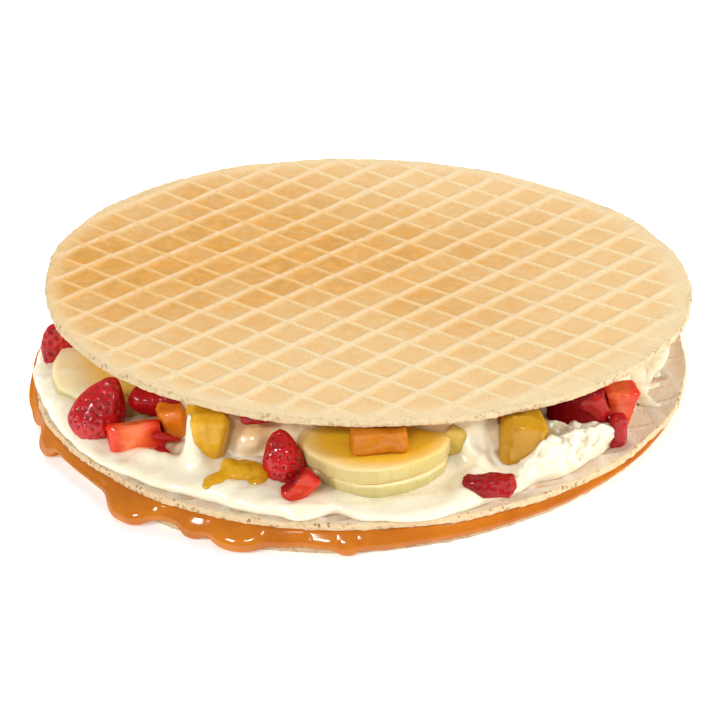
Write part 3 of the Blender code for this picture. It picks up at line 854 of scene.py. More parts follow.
@dataclass(frozen=True)
class FleshFinish(Finish):
    """Wet cut fruit flesh with fibres and paler places."""

    base: Colour
    pale: Colour
    deep: Colour
    # colour of the painted light and shade that some pieces get, partly fruit juices
    juice_and_light: Colour = (0.90, 0.52, 0.03)
    fibre: float = 0.5              # how strongly the fibres show
    gloss: float = 0.5              # how wet the surface is
    inside: float = 0.35            # share of light that passes into it

    def paint(self, surface: Surface, wiring: Wiring) -> None:
        """Wire the flesh's looks from the attributes wall and rib, and from the attribute that carries
        painted light and shade, partly fruit juices.

        Args:
            surface: The material under construction.
            wiring: Its wiring.
        """
        ribs = wiring.times(wiring.attribute("rib"), wiring.ramp(surface.mottle(3 * MM), 0.0, 1.0, 0.3, 1.0))
        colour = wiring.blend(surface.mottle(6 * MM, 0.35, 0.7), self.base, self.pale)
        stretched = wiring.add("ShaderNodeMapping", {"Vector": surface.place, "Scale": (1.0, 1.0, 0.25)})
        strands = wiring.add("ShaderNodeTexNoise", {
            "Vector": stretched.outputs["Vector"], "Scale": 1.0 / (1.3 * MM), "Detail": 2.0,
        })
        lines = wiring.ramp(strands.outputs["Fac"], 0.45, 0.7)
        for mask, tint in (
            (wiring.times(lines, 0.5 * self.fibre), self.deep),
            (wiring.maths("ADD", wiring.attribute("wall"), ribs, clamp=True), self.deep),
            # painted light and shade, partly fruit juices
            (wiring.attribute("juice_and_light"), self.juice_and_light),
        ):
            colour = wiring.blend(mask, colour, tint)
        surface.set(
            Base_Color=colour,
            Roughness=0.4,
            Coat_Weight=surface.sheen(full=self.gloss),
            Coat_Roughness=0.06,
            Coat_IOR=1.5,
            Specular_IOR_Level=0.05,
        )
        surface.glow(self.inside, 2.0 * MM, (1.0, 0.5, 0.12))
        grain = wiring.maths("ADD", surface.mottle(1.2 * MM), wiring.times(lines, 2.0 * self.fibre))
        surface.relief(grain, 0.06 * MM, 0.6)


@dataclass(frozen=True)
class BerryFinish(Finish):
    """Strawberry: deep red glossy skin outside, orange red flesh with a paler core inside."""

    name: str = "strawberry_wet"
    skin: Colour = (0.54, 0.009, 0.010)
    skin_dark: Colour = (0.32, 0.004, 0.006)
    flesh: Colour = (0.74, 0.038, 0.010)
    core: Colour = (1.0, 0.28, 0.07)
    # painted shade: near black red where pieces lie in shade
    painted_shade: Colour = (0.10, 0.001, 0.002)

    def paint(self, surface: Surface, wiring: Wiring) -> None:
        """Wire the berry's looks from the attributes skin and core, and from the attribute of painted shade,
        which also dulls the coat.

        Args:
            surface: The material under construction.
            wiring: Its wiring.
        """
        painted_shade = wiring.attribute("painted_shade")
        outside = wiring.blend(surface.mottle(5 * MM, 0.4, 0.7), self.skin, self.skin_dark)
        ragged = wiring.times(wiring.attribute("core"), surface.mottle(3 * MM, 0.15, 0.5))
        inside = wiring.blend(ragged, self.flesh, self.core)
        colour = wiring.blend(wiring.attribute("skin"), inside, outside)
        unshaded = wiring.maths("SUBTRACT", 1.0, painted_shade)
        surface.set(
            Base_Color=wiring.blend(painted_shade, colour, self.painted_shade),
            Roughness=0.4,
            Specular_IOR_Level=0.0,
            Coat_Weight=wiring.maths("MULTIPLY", unshaded, surface.sheen(), clamp=True),
            Coat_Roughness=0.045,
            Coat_IOR=1.5,
        )
        surface.glow(0.10, 1.0 * MM, (1.0, 0.12, 0.05))
        surface.relief(surface.mottle(1.3 * MM, 0.2, 0.8), 0.07 * MM, 0.55)


@dataclass(frozen=True)
class SeedFinish(Finish):
    """Strawberry seeds: dull gold, some nearly black."""

    name: str = "strawberry_seed"
    gold: Colour = (0.26, 0.13, 0.022)
    dark: Colour = (0.022, 0.009, 0.004)

    def paint(self, surface: Surface, wiring: Wiring) -> None:
        """Wire the seeds' looks."""
        colour = wiring.blend(surface.mottle(1.6 * MM, 0.36, 0.54), self.gold, self.dark)
        surface.set(Base_Color=colour, Roughness=0.3)


# ---- Geometry Nodes ----

class PointRule:
    """A Geometry Nodes tree with named inputs that works on one object's mesh."""

    def __init__(self, name: str, inputs: dict[str, float | int | bpy.types.Material]) -> None:
        """Start the tree with its geometry and named inputs.

        Args:
            name: The tree's name.
            inputs: Input names with their values.
        """
        self.tree = bpy.data.node_groups.new(name, "GeometryNodeTree")
        self.values = {}
        interface = self.tree.interface
        interface.new_socket("Geometry", in_out="INPUT", socket_type="NodeSocketGeometry")
        for key, value in inputs.items():
            kind = "NodeSocketFloat"
            if isinstance(value, int):
                kind = "NodeSocketInt"
            elif isinstance(value, bpy.types.Material):
                kind = "NodeSocketMaterial"
            socket = interface.new_socket(key, in_out="INPUT", socket_type=kind)
            self.values[socket.identifier] = value
        interface.new_socket("Geometry", in_out="OUTPUT", socket_type="NodeSocketGeometry")
        self.wiring = Wiring(self.tree)
        self.start = self.tree.nodes.new("NodeGroupInput")

    def given(self, name: str) -> bpy.types.NodeSocket:
        """The socket of a named input."""
        return self.start.outputs[name]

    def close(self, geometry: bpy.types.NodeSocket) -> None:
        """End the tree: realize what is left of instances and put the geometry out."""
        realized = self.wiring.add("GeometryNodeRealizeInstances", {"Geometry": geometry})
        self.wiring.add("NodeGroupOutput", {"Geometry": realized.outputs[0]})

    def apply(self, obj: bpy.types.Object) -> bpy.types.Mesh:
        """Run the tree on an object and keep the result as its plain mesh.

        Args:
            obj: The object.

        Returns:
            Its new plain mesh.
        """
        modifier = obj.modifiers.new(self.tree.name, "NODES")
        modifier.node_group = self.tree
        for identifier, value in self.values.items():
            modifier[identifier] = value
        return baked(obj)


@dataclass(frozen=True)
class Lattice:
    """Square cells pressed into a wafer between wide soft ridges and narrow crisp ones.

    Each cell is deepest against one narrow ridge and rises gently towards the next.
    """

    turn: float                     # degrees
    shift: tuple[float, float]      # of a crossing off the middle, millimetres along the ridges
    depth: float = 0.62 * MM
    pitch: float = 9.13 * MM
    wide: float = 0.9 * MM
    wide_slope: float = 1.25 * MM
    narrow: float = 0.6 * MM
    steep: float = 0.75 * MM
    lean: float = 0.5               # share of its depth that a cell's floor loses across the cell
    detail: int = 10                # mesh lines in one cell, about

    def lines(self, ridge: float, slope: float, shift: float) -> np.ndarray:
        """Mesh lines across one set of ridges.

        Args:
            ridge: The ridges' width, in metres.
            slope: The width of the slope beside each, in metres.
            shift: The set's shift off the middle, in millimetres.

        Returns:
            Sorted places along the axis.
        """
        half = 0.5 * ridge
        keys = (0.0, half, half + 0.5 * slope, half + slope)
        keys += tuple(self.pitch - key for key in reversed(keys))
        one = []
        for low, high in zip(keys[:-1], keys[1:]):
            count = max(1, round((high - low) / self.pitch * self.detail * 1.35))
            one += [low + (high - low) * i / count for i in range(count)]
        count = int(WAFER_RADIUS / self.pitch) + 2
        places = [cell * self.pitch + step for cell in range(-count, count) for step in one]
        return np.array(places) + shift * MM

    def local(self, points: np.ndarray) -> tuple[np.ndarray, np.ndarray]:
        """Places along the two sets of ridges of points in the wafer's own frame.

        Args:
            points: Points, one row each.

        Returns:
            The places along the first and the second set.
        """
        turn = math.radians(self.turn)
        u = points[:, 0] * math.cos(turn) + points[:, 1] * math.sin(turn) - self.shift[0] * MM
        v = points[:, 1] * math.cos(turn) - points[:, 0] * math.sin(turn) - self.shift[1] * MM
        return u, v

    def crest(self, points: np.ndarray) -> np.ndarray:
        """How near each point is to the crest of a wide ridge, from 0 to 1."""
        u, _ = self.local(points)
        away = np.abs((u + 0.5 * self.pitch) % self.pitch - 0.5 * self.pitch)
        return 1.0 - smoothstep((away - 0.3 * self.wide) / self.wide)

    def behind(self, points: np.ndarray) -> np.ndarray:
        """How near each point is to the foot of a narrow ridge, on its far side, from 0 to 1: where the
        wafer's finish paints shade.
        """
        _, v = self.local(points)
        ahead = v % self.pitch - 0.5 * self.narrow
        return smoothstep(2.0 * ahead / self.steep) * (1.0 - smoothstep(ahead / self.steep - 0.6))

    def press(self, obj: bpy.types.Object) -> bpy.types.Mesh:
        """Press the cells into a flat wafer's top by Geometry Nodes and note how deep each point is.

        Args:
            obj: The flat wafer, with the attribute reach: how deep a cell may go at each point.

        Returns:
            The wafer's new mesh, with the attribute press.
        """
        rule = PointRule("press_cells", {
            "Pitch": self.pitch, "Wide Ridge": self.wide, "Wide Slope": self.wide_slope,
            "Narrow Ridge": self.narrow, "Steep Slope": self.steep, "Lean": self.lean, "Depth": self.depth,
            "Turn": math.radians(self.turn), "Shift X": self.shift[0] * MM, "Shift Y": self.shift[1] * MM,
        })
        given = rule.given
        wiring = rule.wiring
        maths = wiring.maths
        times = wiring.times
        turned = wiring.add("ShaderNodeVectorRotate", {
            "Vector": wiring.add("GeometryNodeInputPosition").outputs[0],
            "Angle": times(given("Turn"), -1.0),
        }, rotation_type="Z_AXIS")
        across = wiring.add("ShaderNodeSeparateXYZ", {0: turned.outputs[0]})
        moved = maths("SUBTRACT", across.outputs[0], given("Shift X"))
        away = maths("PINGPONG", moved, times(given("Pitch"), 0.5))
        half = times(given("Wide Ridge"), 0.5)
        share = wiring.ramp(away, half, maths("ADD", half, given("Wide Slope")))
        moved = maths("SUBTRACT", across.outputs[1], given("Shift Y"))
        ahead = maths("FLOORED_MODULO", moved, given("Pitch"))
        half = times(given("Narrow Ridge"), 0.5)
        down = wiring.ramp(ahead, half, maths("ADD", half, given("Steep Slope")))
        ridge = maths("SUBTRACT", given("Pitch"), half)
        up = wiring.ramp(ahead, maths("SUBTRACT", ridge, given("Steep Slope")), ridge, 1.0, 0.0)
        share = times(share, times(down, up))
        share = times(share, wiring.add("GeometryNodeInputNamedAttribute", {"Name": "reach"}).outputs[0])
        leaning = times(maths("DIVIDE", ahead, given("Pitch")), given("Lean"))
        depth = times(given("Depth"), maths("SUBTRACT", leaning, 1.0))
        stored = wiring.add("GeometryNodeStoreNamedAttribute", {
            "Geometry": given("Geometry"), "Name": "press", "Value": share,
        })
        pressed = wiring.add("GeometryNodeSetPosition", {
            "Geometry": stored.outputs[0], "Offset": wiring.upwards(times(share, depth)),
        })
        rule.close(pressed.outputs[0])
        return rule.apply(obj)


@dataclass(frozen=True)
class Seeds:
    """Seeds sunk in dimples all over a strawberry's skin."""

    spacing: float = 1.75 * MM
    length: float = 0.62 * MM
    dimple: float = 0.42 * MM
    reach: float = 0.85 * MM
    density: float = 4.0e6          # most seeds for each square metre before the spacing thins them
    width: float = 0.62             # shares of the length
    height: float = 0.5
    sunk: float = 0.85              # share of the dimple's depth

    def sow(self, obj: bpy.types.Object, seed: int, skin: bpy.types.Material,
            seeds: bpy.types.Material) -> None:
        """Set the seeds by Geometry Nodes, as a part of the piece's mesh.

        Args:
            obj: The strawberry piece, with the attribute skin.
            seed: Number of the random draw.
            skin: The piece's own material.
            seeds: The seeds' material.
        """
        rule = PointRule("sow_seeds", {
            "Spacing": self.spacing, "Length": self.length, "Dimple": self.dimple, "Reach": self.reach,
            "Seed": seed, "Skin Material": skin, "Seed Material": seeds,
        })
        given = rule.given
        wiring = rule.wiring
        on_skin = wiring.add("GeometryNodeInputNamedAttribute", {"Name": "skin"}).outputs[0]
        scattered = wiring.add("GeometryNodeDistributePointsOnFaces", {
            "Mesh": given("Geometry"),
            "Selection": wiring.maths("GREATER_THAN", on_skin, 0.9),
            "Distance Min": given("Spacing"),
            "Density Max": self.density,
            "Seed": given("Seed"),
        }, distribute_method="POISSON")
        near = wiring.add("GeometryNodeProximity", {0: scattered.outputs["Points"]}, target_element="POINTS")
        down = wiring.ramp(near.outputs["Distance"], 0.0, given("Reach"), -1.0, 0.0)
        offset = wiring.add("ShaderNodeVectorMath", {
            0: wiring.add("GeometryNodeInputNormal").outputs[0],
            "Scale": wiring.times(down, given("Dimple")),
        }, operation="SCALE")
        body = wiring.add("GeometryNodeSetPosition", {
            "Geometry": given("Geometry"), "Offset": offset.outputs[0],
        })
        size = wiring.add("ShaderNodeCombineXYZ", {
            0: wiring.times(given("Length"), self.width),
            1: given("Length"),
            2: wiring.times(given("Length"), self.height),
        })
        ball = wiring.add("GeometryNodeMeshIcoSphere", {"Radius": 0.5, "Subdivisions": 2})
        kernel = wiring.add("GeometryNodeTransform", {"Geometry": ball.outputs[0], "Scale": size.outputs[0]})
        placed = wiring.add("GeometryNodeInstanceOnPoints", {
            "Points": scattered.outputs["Points"],
            "Instance": kernel.outputs[0],
            "Rotation": scattered.outputs["Rotation"],
        })
        lowered = wiring.add("GeometryNodeTranslateInstances", {
            "Instances": placed.outputs[0],
            "Translation": wiring.upwards(wiring.times(given("Dimple"), -self.sunk)),
        })
        real = wiring.add("GeometryNodeRealizeInstances", {"Geometry": lowered.outputs[0]})
        joined = wiring.add("GeometryNodeJoinGeometry")
        for part, material in ((real, "Seed Material"), (body, "Skin Material")):
            coloured = wiring.add("GeometryNodeSetMaterial", {
                "Geometry": part.outputs[0], "Material": given(material),
            })
            wiring.tree.links.new(coloured.outputs[0], joined.inputs[0])
        rule.close(joined.outputs[0])
        rule.apply(obj)


# ---- Wafers ----

@dataclass(frozen=True)
class Toasting:
    """A place where a wafer is baked darker or paler: place and spread in millimetres, and how much."""

    at: tuple[float, float]
    spread: float
    amount: float


@dataclass
class Wafer:
    """One thin wafer: a disc with a wandering porous rim and its cells pressed into the top."""

    node: str
    lie: Lie
    lattice: Lattice
    finish: WaferFinish
    seed: int
    bend: Bend | None = None
    worn: bool = False
    plain_bake: float = 0.3
    toasting: tuple[Toasting, ...] = ()
    margin: float = 5.0 * MM        # the cells get shallower over this width at the rim
    front_margin: float = 5.0 * MM  # the same at the front and right
    front_angle: float = -50.0
    front_spread: float = 75.0
    crumbly: float = 0.4            # how far the rim's look reaches over the margin
    wall_rings: tuple[tuple[float, float], ...] = (
        (0.0, -0.22), (0.08, -0.05), (0.22, 0.05), (0.4, 0.1),
        (0.6, 0.1), (0.8, 0.04), (0.94, -0.06), (1.0, -0.24),
    )                               # share of the thickness, and millimetres outwards
    under_rings: tuple[float, ...] = (0.985, 0.96, 0.92, 0.86, 0.78, 0.68, 0.56, 0.43, 0.3, 0.16, 0.06)
    pore: float = 0.3 * MM
    rim_bumps: tuple[Triple, ...] = ((0.9, 1.0, 0), (2.6, 0.6, 1))     # width, share, step of the seed
    face_bump: Triple = (1.3, 0.06, 2)                                  # width and height in millimetres
    warp: Triple = (9.0, 0.12, 4)

    def rim(self, angles: np.ndarray) -> np.ndarray:
        """The rim's distance from the wafer's middle in each direction."""
        if self.worn:
            return bottom_radius(angles)
        return WAFER_RADIUS + wave(angles, self.seed, RIM_WAVE)

    def top_grid(self) -> tuple[np.ndarray, list[tuple[int, ...]], np.ndarray]:
        """The top face as a grid along the ridges, ending on the rim.

        Returns:
            Its points, its faces and the numbers of the points on the rim, anticlockwise.
        """
        lattice = self.lattice
        across_wide = lattice.lines(lattice.wide, lattice.wide_slope, lattice.shift[0])
        across_narrow = lattice.lines(lattice.narrow, lattice.steep, lattice.shift[1])
        u, v = np.meshgrid(across_wide, across_narrow, indexing="ij")
        turn = math.radians(lattice.turn)
        x = u * math.cos(turn) - v * math.sin(turn)
        y = u * math.sin(turn) + v * math.cos(turn)
        angles = headings(x, y)
        reach = self.rim(angles) + self.wall_rings[0][1] * MM
        inside = np.hypot(x, y) < reach
        kept = inside[:-1, :-1] | inside[1:, :-1] | inside[1:, 1:] | inside[:-1, 1:]
        number = np.arange(x.size).reshape(x.shape)
        i, j = np.nonzero(kept)
        quads = np.stack([number[i, j], number[i + 1, j], number[i + 1, j + 1], number[i, j + 1]], axis=1)
        used = np.unique(quads)
        remap = np.full(x.size, -1)
        remap[used] = np.arange(used.size)
        scale = np.where(inside, 1.0, reach / np.maximum(np.hypot(x, y), 1e-9)).ravel()[used]
        points = rows(x.ravel()[used] * scale, y.ravel()[used] * scale, np.zeros(used.size))
        on_rim = np.nonzero(~inside.ravel()[used])[0]
        order = np.argsort(angles.ravel()[used][on_rim])
        return points, [tuple(face) for face in remap[quads].tolist()], on_rim[order]

    def flat_mesh(self) -> bpy.types.Mesh:
        """The flat wafer: its top grid, its rounded wall and its underside.

        Returns:
            The mesh, with the attributes reach and edge.
        """
        points, faces, loop = self.top_grid()
        count = len(loop)
        angles = headings(points[loop, 0], points[loop, 1])
        turn = np.radians(angles)
        radius = self.rim(angles)
        rings = [(radius + out * MM, -share * WAFER_THICKNESS, 1.0) for share, out in self.wall_rings[1:]]
        rings += [(radius * share, -WAFER_THICKNESS, 0.0) for share in self.under_rings]
        blocks = [points]
        edge = [np.zeros(len(points))]
        previous = loop
        total = len(points)
        for reach, z, is_edge in rings:
            blocks.append(rows(np.cos(turn) * reach, np.sin(turn) * reach, np.full(count, z)))
            edge.append(np.full(count, is_edge))
            numbers = np.arange(total, total + count)
            quads = np.stack([previous, numbers, np.roll(numbers, -1), np.roll(previous, -1)], axis=1)
            faces.extend(tuple(face) for face in quads.tolist())
            previous = numbers
            total += count
        blocks.append(np.array([[0.0, 0.0, -WAFER_THICKNESS]]))
        edge.append(np.zeros(1))
        faces.extend((int(a), total, int(b)) for a, b in zip(previous, np.roll(previous, -1)))
        all_points = np.concatenate(blocks)
        mesh = mesh_of(self.node, all_points, faces)
        away = from_middle(points)
        frontness = bump(headings(points[:, 0], points[:, 1]), self.front_angle, self.front_spread)
        margin = self.margin + frontness * (self.front_margin - self.margin)
        reach = np.zeros(len(all_points))
        reach[:len(points)] = 1.0 - 0.9 * smoothstep((away - WAFER_RADIUS + margin) / margin)
        edges = np.concatenate(edge)
        crumbs = smoothstep((away - WAFER_RADIUS + self.margin) / self.margin)
        edges[:len(points)] = self.crumbly * crumbs
        edges[loop] = 1.0
        store(mesh, "reach", reach)
        store(mesh, "edge", edges)
        return mesh

    def bumps(self, points: np.ndarray, width: float, height: float, step: int) -> np.ndarray:
        """Smooth noise of a width in millimetres and a height, with a pattern of this wafer's own."""
        return height * roughness_at(points, width * MM, self.seed + step)

    def cell_tone(self, points: np.ndarray) -> np.ndarray:
        """How warm each point's cell is baked, from 0 to 1, in the wafer's own frame.

        Args:
            points: Points, one row each.

        Returns:
            One share for each point.
        """
        u, v = self.lattice.local(points)
        cells = np.floor(np.stack([u, v], axis=1) / self.lattice.pitch).astype(int)
        tones = {}
        for cell in map(tuple, cells.tolist()):
            if cell not in tones:
                tones[cell] = random.Random(self.seed * 7919 + cell[0] * 101 + cell[1]).uniform(0.0, 0.4)
        return np.array([tones[tuple(cell)] for cell in cells.tolist()])

    def build(self, effects: Effects) -> None:
        """Build, press, roughen, bend and place the wafer.

        Args:
            effects: The shared shader groups.
        """
        obj = linked(self.node + "_baked", self.flat_mesh())
        mesh = self.lattice.press(obj)
        points = points_of(mesh)
        store(mesh, "tone", self.cell_tone(points))
        store(mesh, "crest", self.lattice.crest(points))
        store(mesh, "behind", self.lattice.behind(points))
        bake = np.full(len(points), self.plain_bake)
        for place in self.toasting:
            away = from_middle(points, place.at)
            bake += place.amount * np.exp(-((away / (place.spread * MM)) ** 2))
        store(mesh, "bake", np.clip(bake, 0.0, 1.0))
        edge = np.empty(len(mesh.vertices))
        mesh.attributes["edge"].data.foreach_get("value", edge)
        away = np.maximum(from_middle(points), 1e-9)
        outwards = rows(points[:, 0] / away, points[:, 1] / away, np.zeros(len(points)))
        rough = sum(self.bumps(points, *bump_size) for bump_size in self.rim_bumps)
        points += outwards * (edge * rough * self.pore)[:, None]
        grain = self.bumps(points, *self.face_bump) * (1.0 + edge + self.lattice.crest(points))
        points[:, 2] += (grain + self.bumps(points, *self.warp)) * MM
        if self.bend is not None:
            points[:, 2] += self.bend.lift(points[:, 0], points[:, 1])
        move_points(mesh, self.lie.place(points))
        dress(mesh, self.finish.material(effects))
        mesh.shade_smooth()
        settle(obj, Slot.WAFER, self.node)


# ---- Caramel ----

@dataclass(frozen=True)
class Drip:
    """One drip: its direction and spread in degrees, its reach in millimetres and its fall."""

    angle: float
    spread: float
    reach: float
    fall: float


@dataclass
class Caramel:
    """The caramel between the two lower wafers, with its drips over the rim."""

    steps: int = 1080
    samples: int = 34
    edge: float = 73.4 * MM
    bulge: float = 75.3 * MM
    clearance: float = 0.2 * MM
    foot: float = 0.35 * MM
    wall: float = 1.1 * MM
    root: float = 1.9
    overflow: tuple[float, float] = (-102.0, -14.0)     # degrees where it hangs over the lower rim
    overflow_fades: tuple[float, float] = (9.0, 22.0)
    overflow_share: float = 0.14
    thin: float = 1.6 * MM              # a gap between the wafers from which the caramel bulges
    thick: float = 3.8 * MM             # a gap from which it bulges most
    drips: tuple[Drip, ...] = (
        Drip(-178.0, 8.0, 76.0, 0.9), Drip(-168.5, 4.0, 75.7, 0.5), Drip(-158.4, 3.2, 77.0, 1.0),
        Drip(-131.8, 4.9, 79.0, 1.0), Drip(-119.3, 2.5, 76.6, 0.95), Drip(-111.3, 4.8, 78.0, 1.0),
        Drip(-93.2, 2.0, 76.9, 1.0), Drip(34.0, 4.2, 76.9, 1.0), Drip(73.0, 5.0, 77.2, 1.0),
        Drip(122.0, 5.6, 77.5, 1.0), Drip(139.0, 3.0, 76.8, 1.0), Drip(160.0, 4.6, 77.6, 1.0),
    )

    def spill_share(self, angles: np.ndarray, wider: float = 1.0) -> list[np.ndarray]:
        """How much of each drip lies in each direction."""
        return [bump(angles, drip.angle, wider * drip.spread, 3.0) for drip in self.drips]

    def sections(self, angles: np.ndarray) -> np.ndarray:
        """The outline in each direction, from under the rim to the top.

        Args:
            angles: Directions in degrees.

        Returns:
            An array of direction, point, and radius or height.
        """
        turn = np.radians(angles)
        rim_x = WAFER_RADIUS * np.cos(turn)
        rim_y = WAFER_RADIUS * np.sin(turn)
        ceiling = MIDDLE_LIE.height(rim_x, rim_y, -WAFER_THICKNESS)
        floor = np.full_like(angles, WAFER_THICKNESS)
        thick = np.clip((ceiling - floor - self.thin) / (self.thick - self.thin), 0.0, 1.0)
        root = np.max(self.spill_share(angles, self.root), axis=0)
        swelling = smoothstep(1.6 * root)
        shares = self.spill_share(angles)
        spill = np.max([drip.fall * share for drip, share in zip(self.drips, shares)], axis=0)
        spill = spill * smoothstep(4.0 * swelling - 3.0)
        hanging = smoothstep((angles - self.overflow[0]) / self.overflow_fades[0])
        hanging *= smoothstep((self.overflow[1] - angles) / self.overflow_fades[1])
        swelling = np.maximum(swelling, smoothstep(3.0 * hanging))
        ragged = 1.0 + wave(5.0 * angles, 33, 0.16) + wave(13.0 * angles, 35, 0.12)
        spill = np.maximum(spill, self.overflow_share * hanging * ragged)
        reach = self.edge + thick * (self.bulge - self.edge) + wave(angles, 31, 0.22 * MM)
        for drip, share in zip(self.drips, shares):
            reach = np.maximum(reach, reach + share * (drip.reach * MM - reach))
        off_x, off_y = (shift * MM for shift in BOTTOM_LIE.centre[:2])
        over_rim = bottom_radius(angles) + off_x * np.cos(turn) + off_y * np.sin(turn) + self.clearance
        inside = np.minimum(over_rim, reach - self.wall)
        inside = inside + swelling * (over_rim - inside)
        reach = np.maximum(reach, inside + self.wall)
        worn = bump(angles, WORN_ANGLE, WORN_SPREAD)
        border = floor + 0.42 * (ceiling - floor) * worn + wave(angles, 37, 0.18 * MM)
        lowest = border + spill * (self.foot - border)
        tall = ceiling - lowest
        return outlined(
            (inside - 3.0 * MM, floor - 0.1 * MM),
            (inside - 1.0 * MM, floor - 0.1 * MM),
            (inside, floor - 0.1 * MM),
            (inside + 0.05 * MM, lowest + 0.2 * MM),
            (inside + 0.3 * (reach - inside), lowest),
            (inside + 0.8 * (reach - inside), lowest - 0.02 * MM),
            (reach + 0.05 * MM, lowest + 0.08 * tall),
            (reach + 0.50 * MM, lowest + 0.30 * tall),
            (reach - 0.35 * MM, lowest + 0.62 * tall),
            (np.minimum(reach - 0.6 * MM, WAFER_RADIUS + 0.1 * MM), lowest + 0.88 * tall),
            (np.minimum(reach - 1.2 * MM, WAFER_RADIUS - 0.4 * MM), ceiling + 0.1 * MM),
            (np.minimum(reach - 3.0 * MM, WAFER_RADIUS - 2.4 * MM), ceiling + 0.1 * MM),
        )

    def build(self, effects: Effects) -> None:
        """Loft the outlines into the caramel.

        Args:
            effects: The shared shader groups.
        """
        angles = np.linspace(-180.0, 180.0, self.steps, endpoint=False)
        x, y, curve = swept(angles, self.sections(angles), self.samples)
        mesh = mesh_of("caramel", rows(x, y, curve[..., 1]), ring_faces(self.samples, self.steps))
        swell(mesh, (7.0, 0.16, 5), (2.6, 0.07, 6))
        flat = points_of(mesh)
        last = slice((self.samples - 2) * self.steps, None)
        flat[last, 2] = MIDDLE_LIE.height(flat[last, 0], flat[last, 1], -WAFER_THICKNESS) + 0.1 * MM
        move_points(mesh, flat)
        dress(mesh, CaramelFinish().material(effects))
        settle(linked("caramel_poured", mesh), Slot.CARAMEL, "caramel")


# ---- Cream ----

@dataclass(frozen=True)
class Lobe:
    """A swelling of a size round the part: direction and spread in degrees, and millimetres."""

    angle: float
    spread: float
    amount: float


@dataclass(frozen=True)
class Fold:
    """A soft ridge or dollop on the cream, in millimetres and degrees."""

    at: tuple[float, float]
    length: float
    width: float
    turn: float
    height: float


@dataclass(frozen=True)
class Push:
    """A soft push on the cream: its place (height over the middle wafer), reach and move in millimetres."""

    at: Triple
    reach: float
    move: Triple


def lobed(angles: np.ndarray, base: float, lobes: tuple[Lobe, ...]) -> np.ndarray:
    """A size round the part: a base value and the lobes that swell or pinch it."""
    return base + sum(lobe.amount * MM * bump(angles, lobe.angle, lobe.spread) for lobe in lobes)


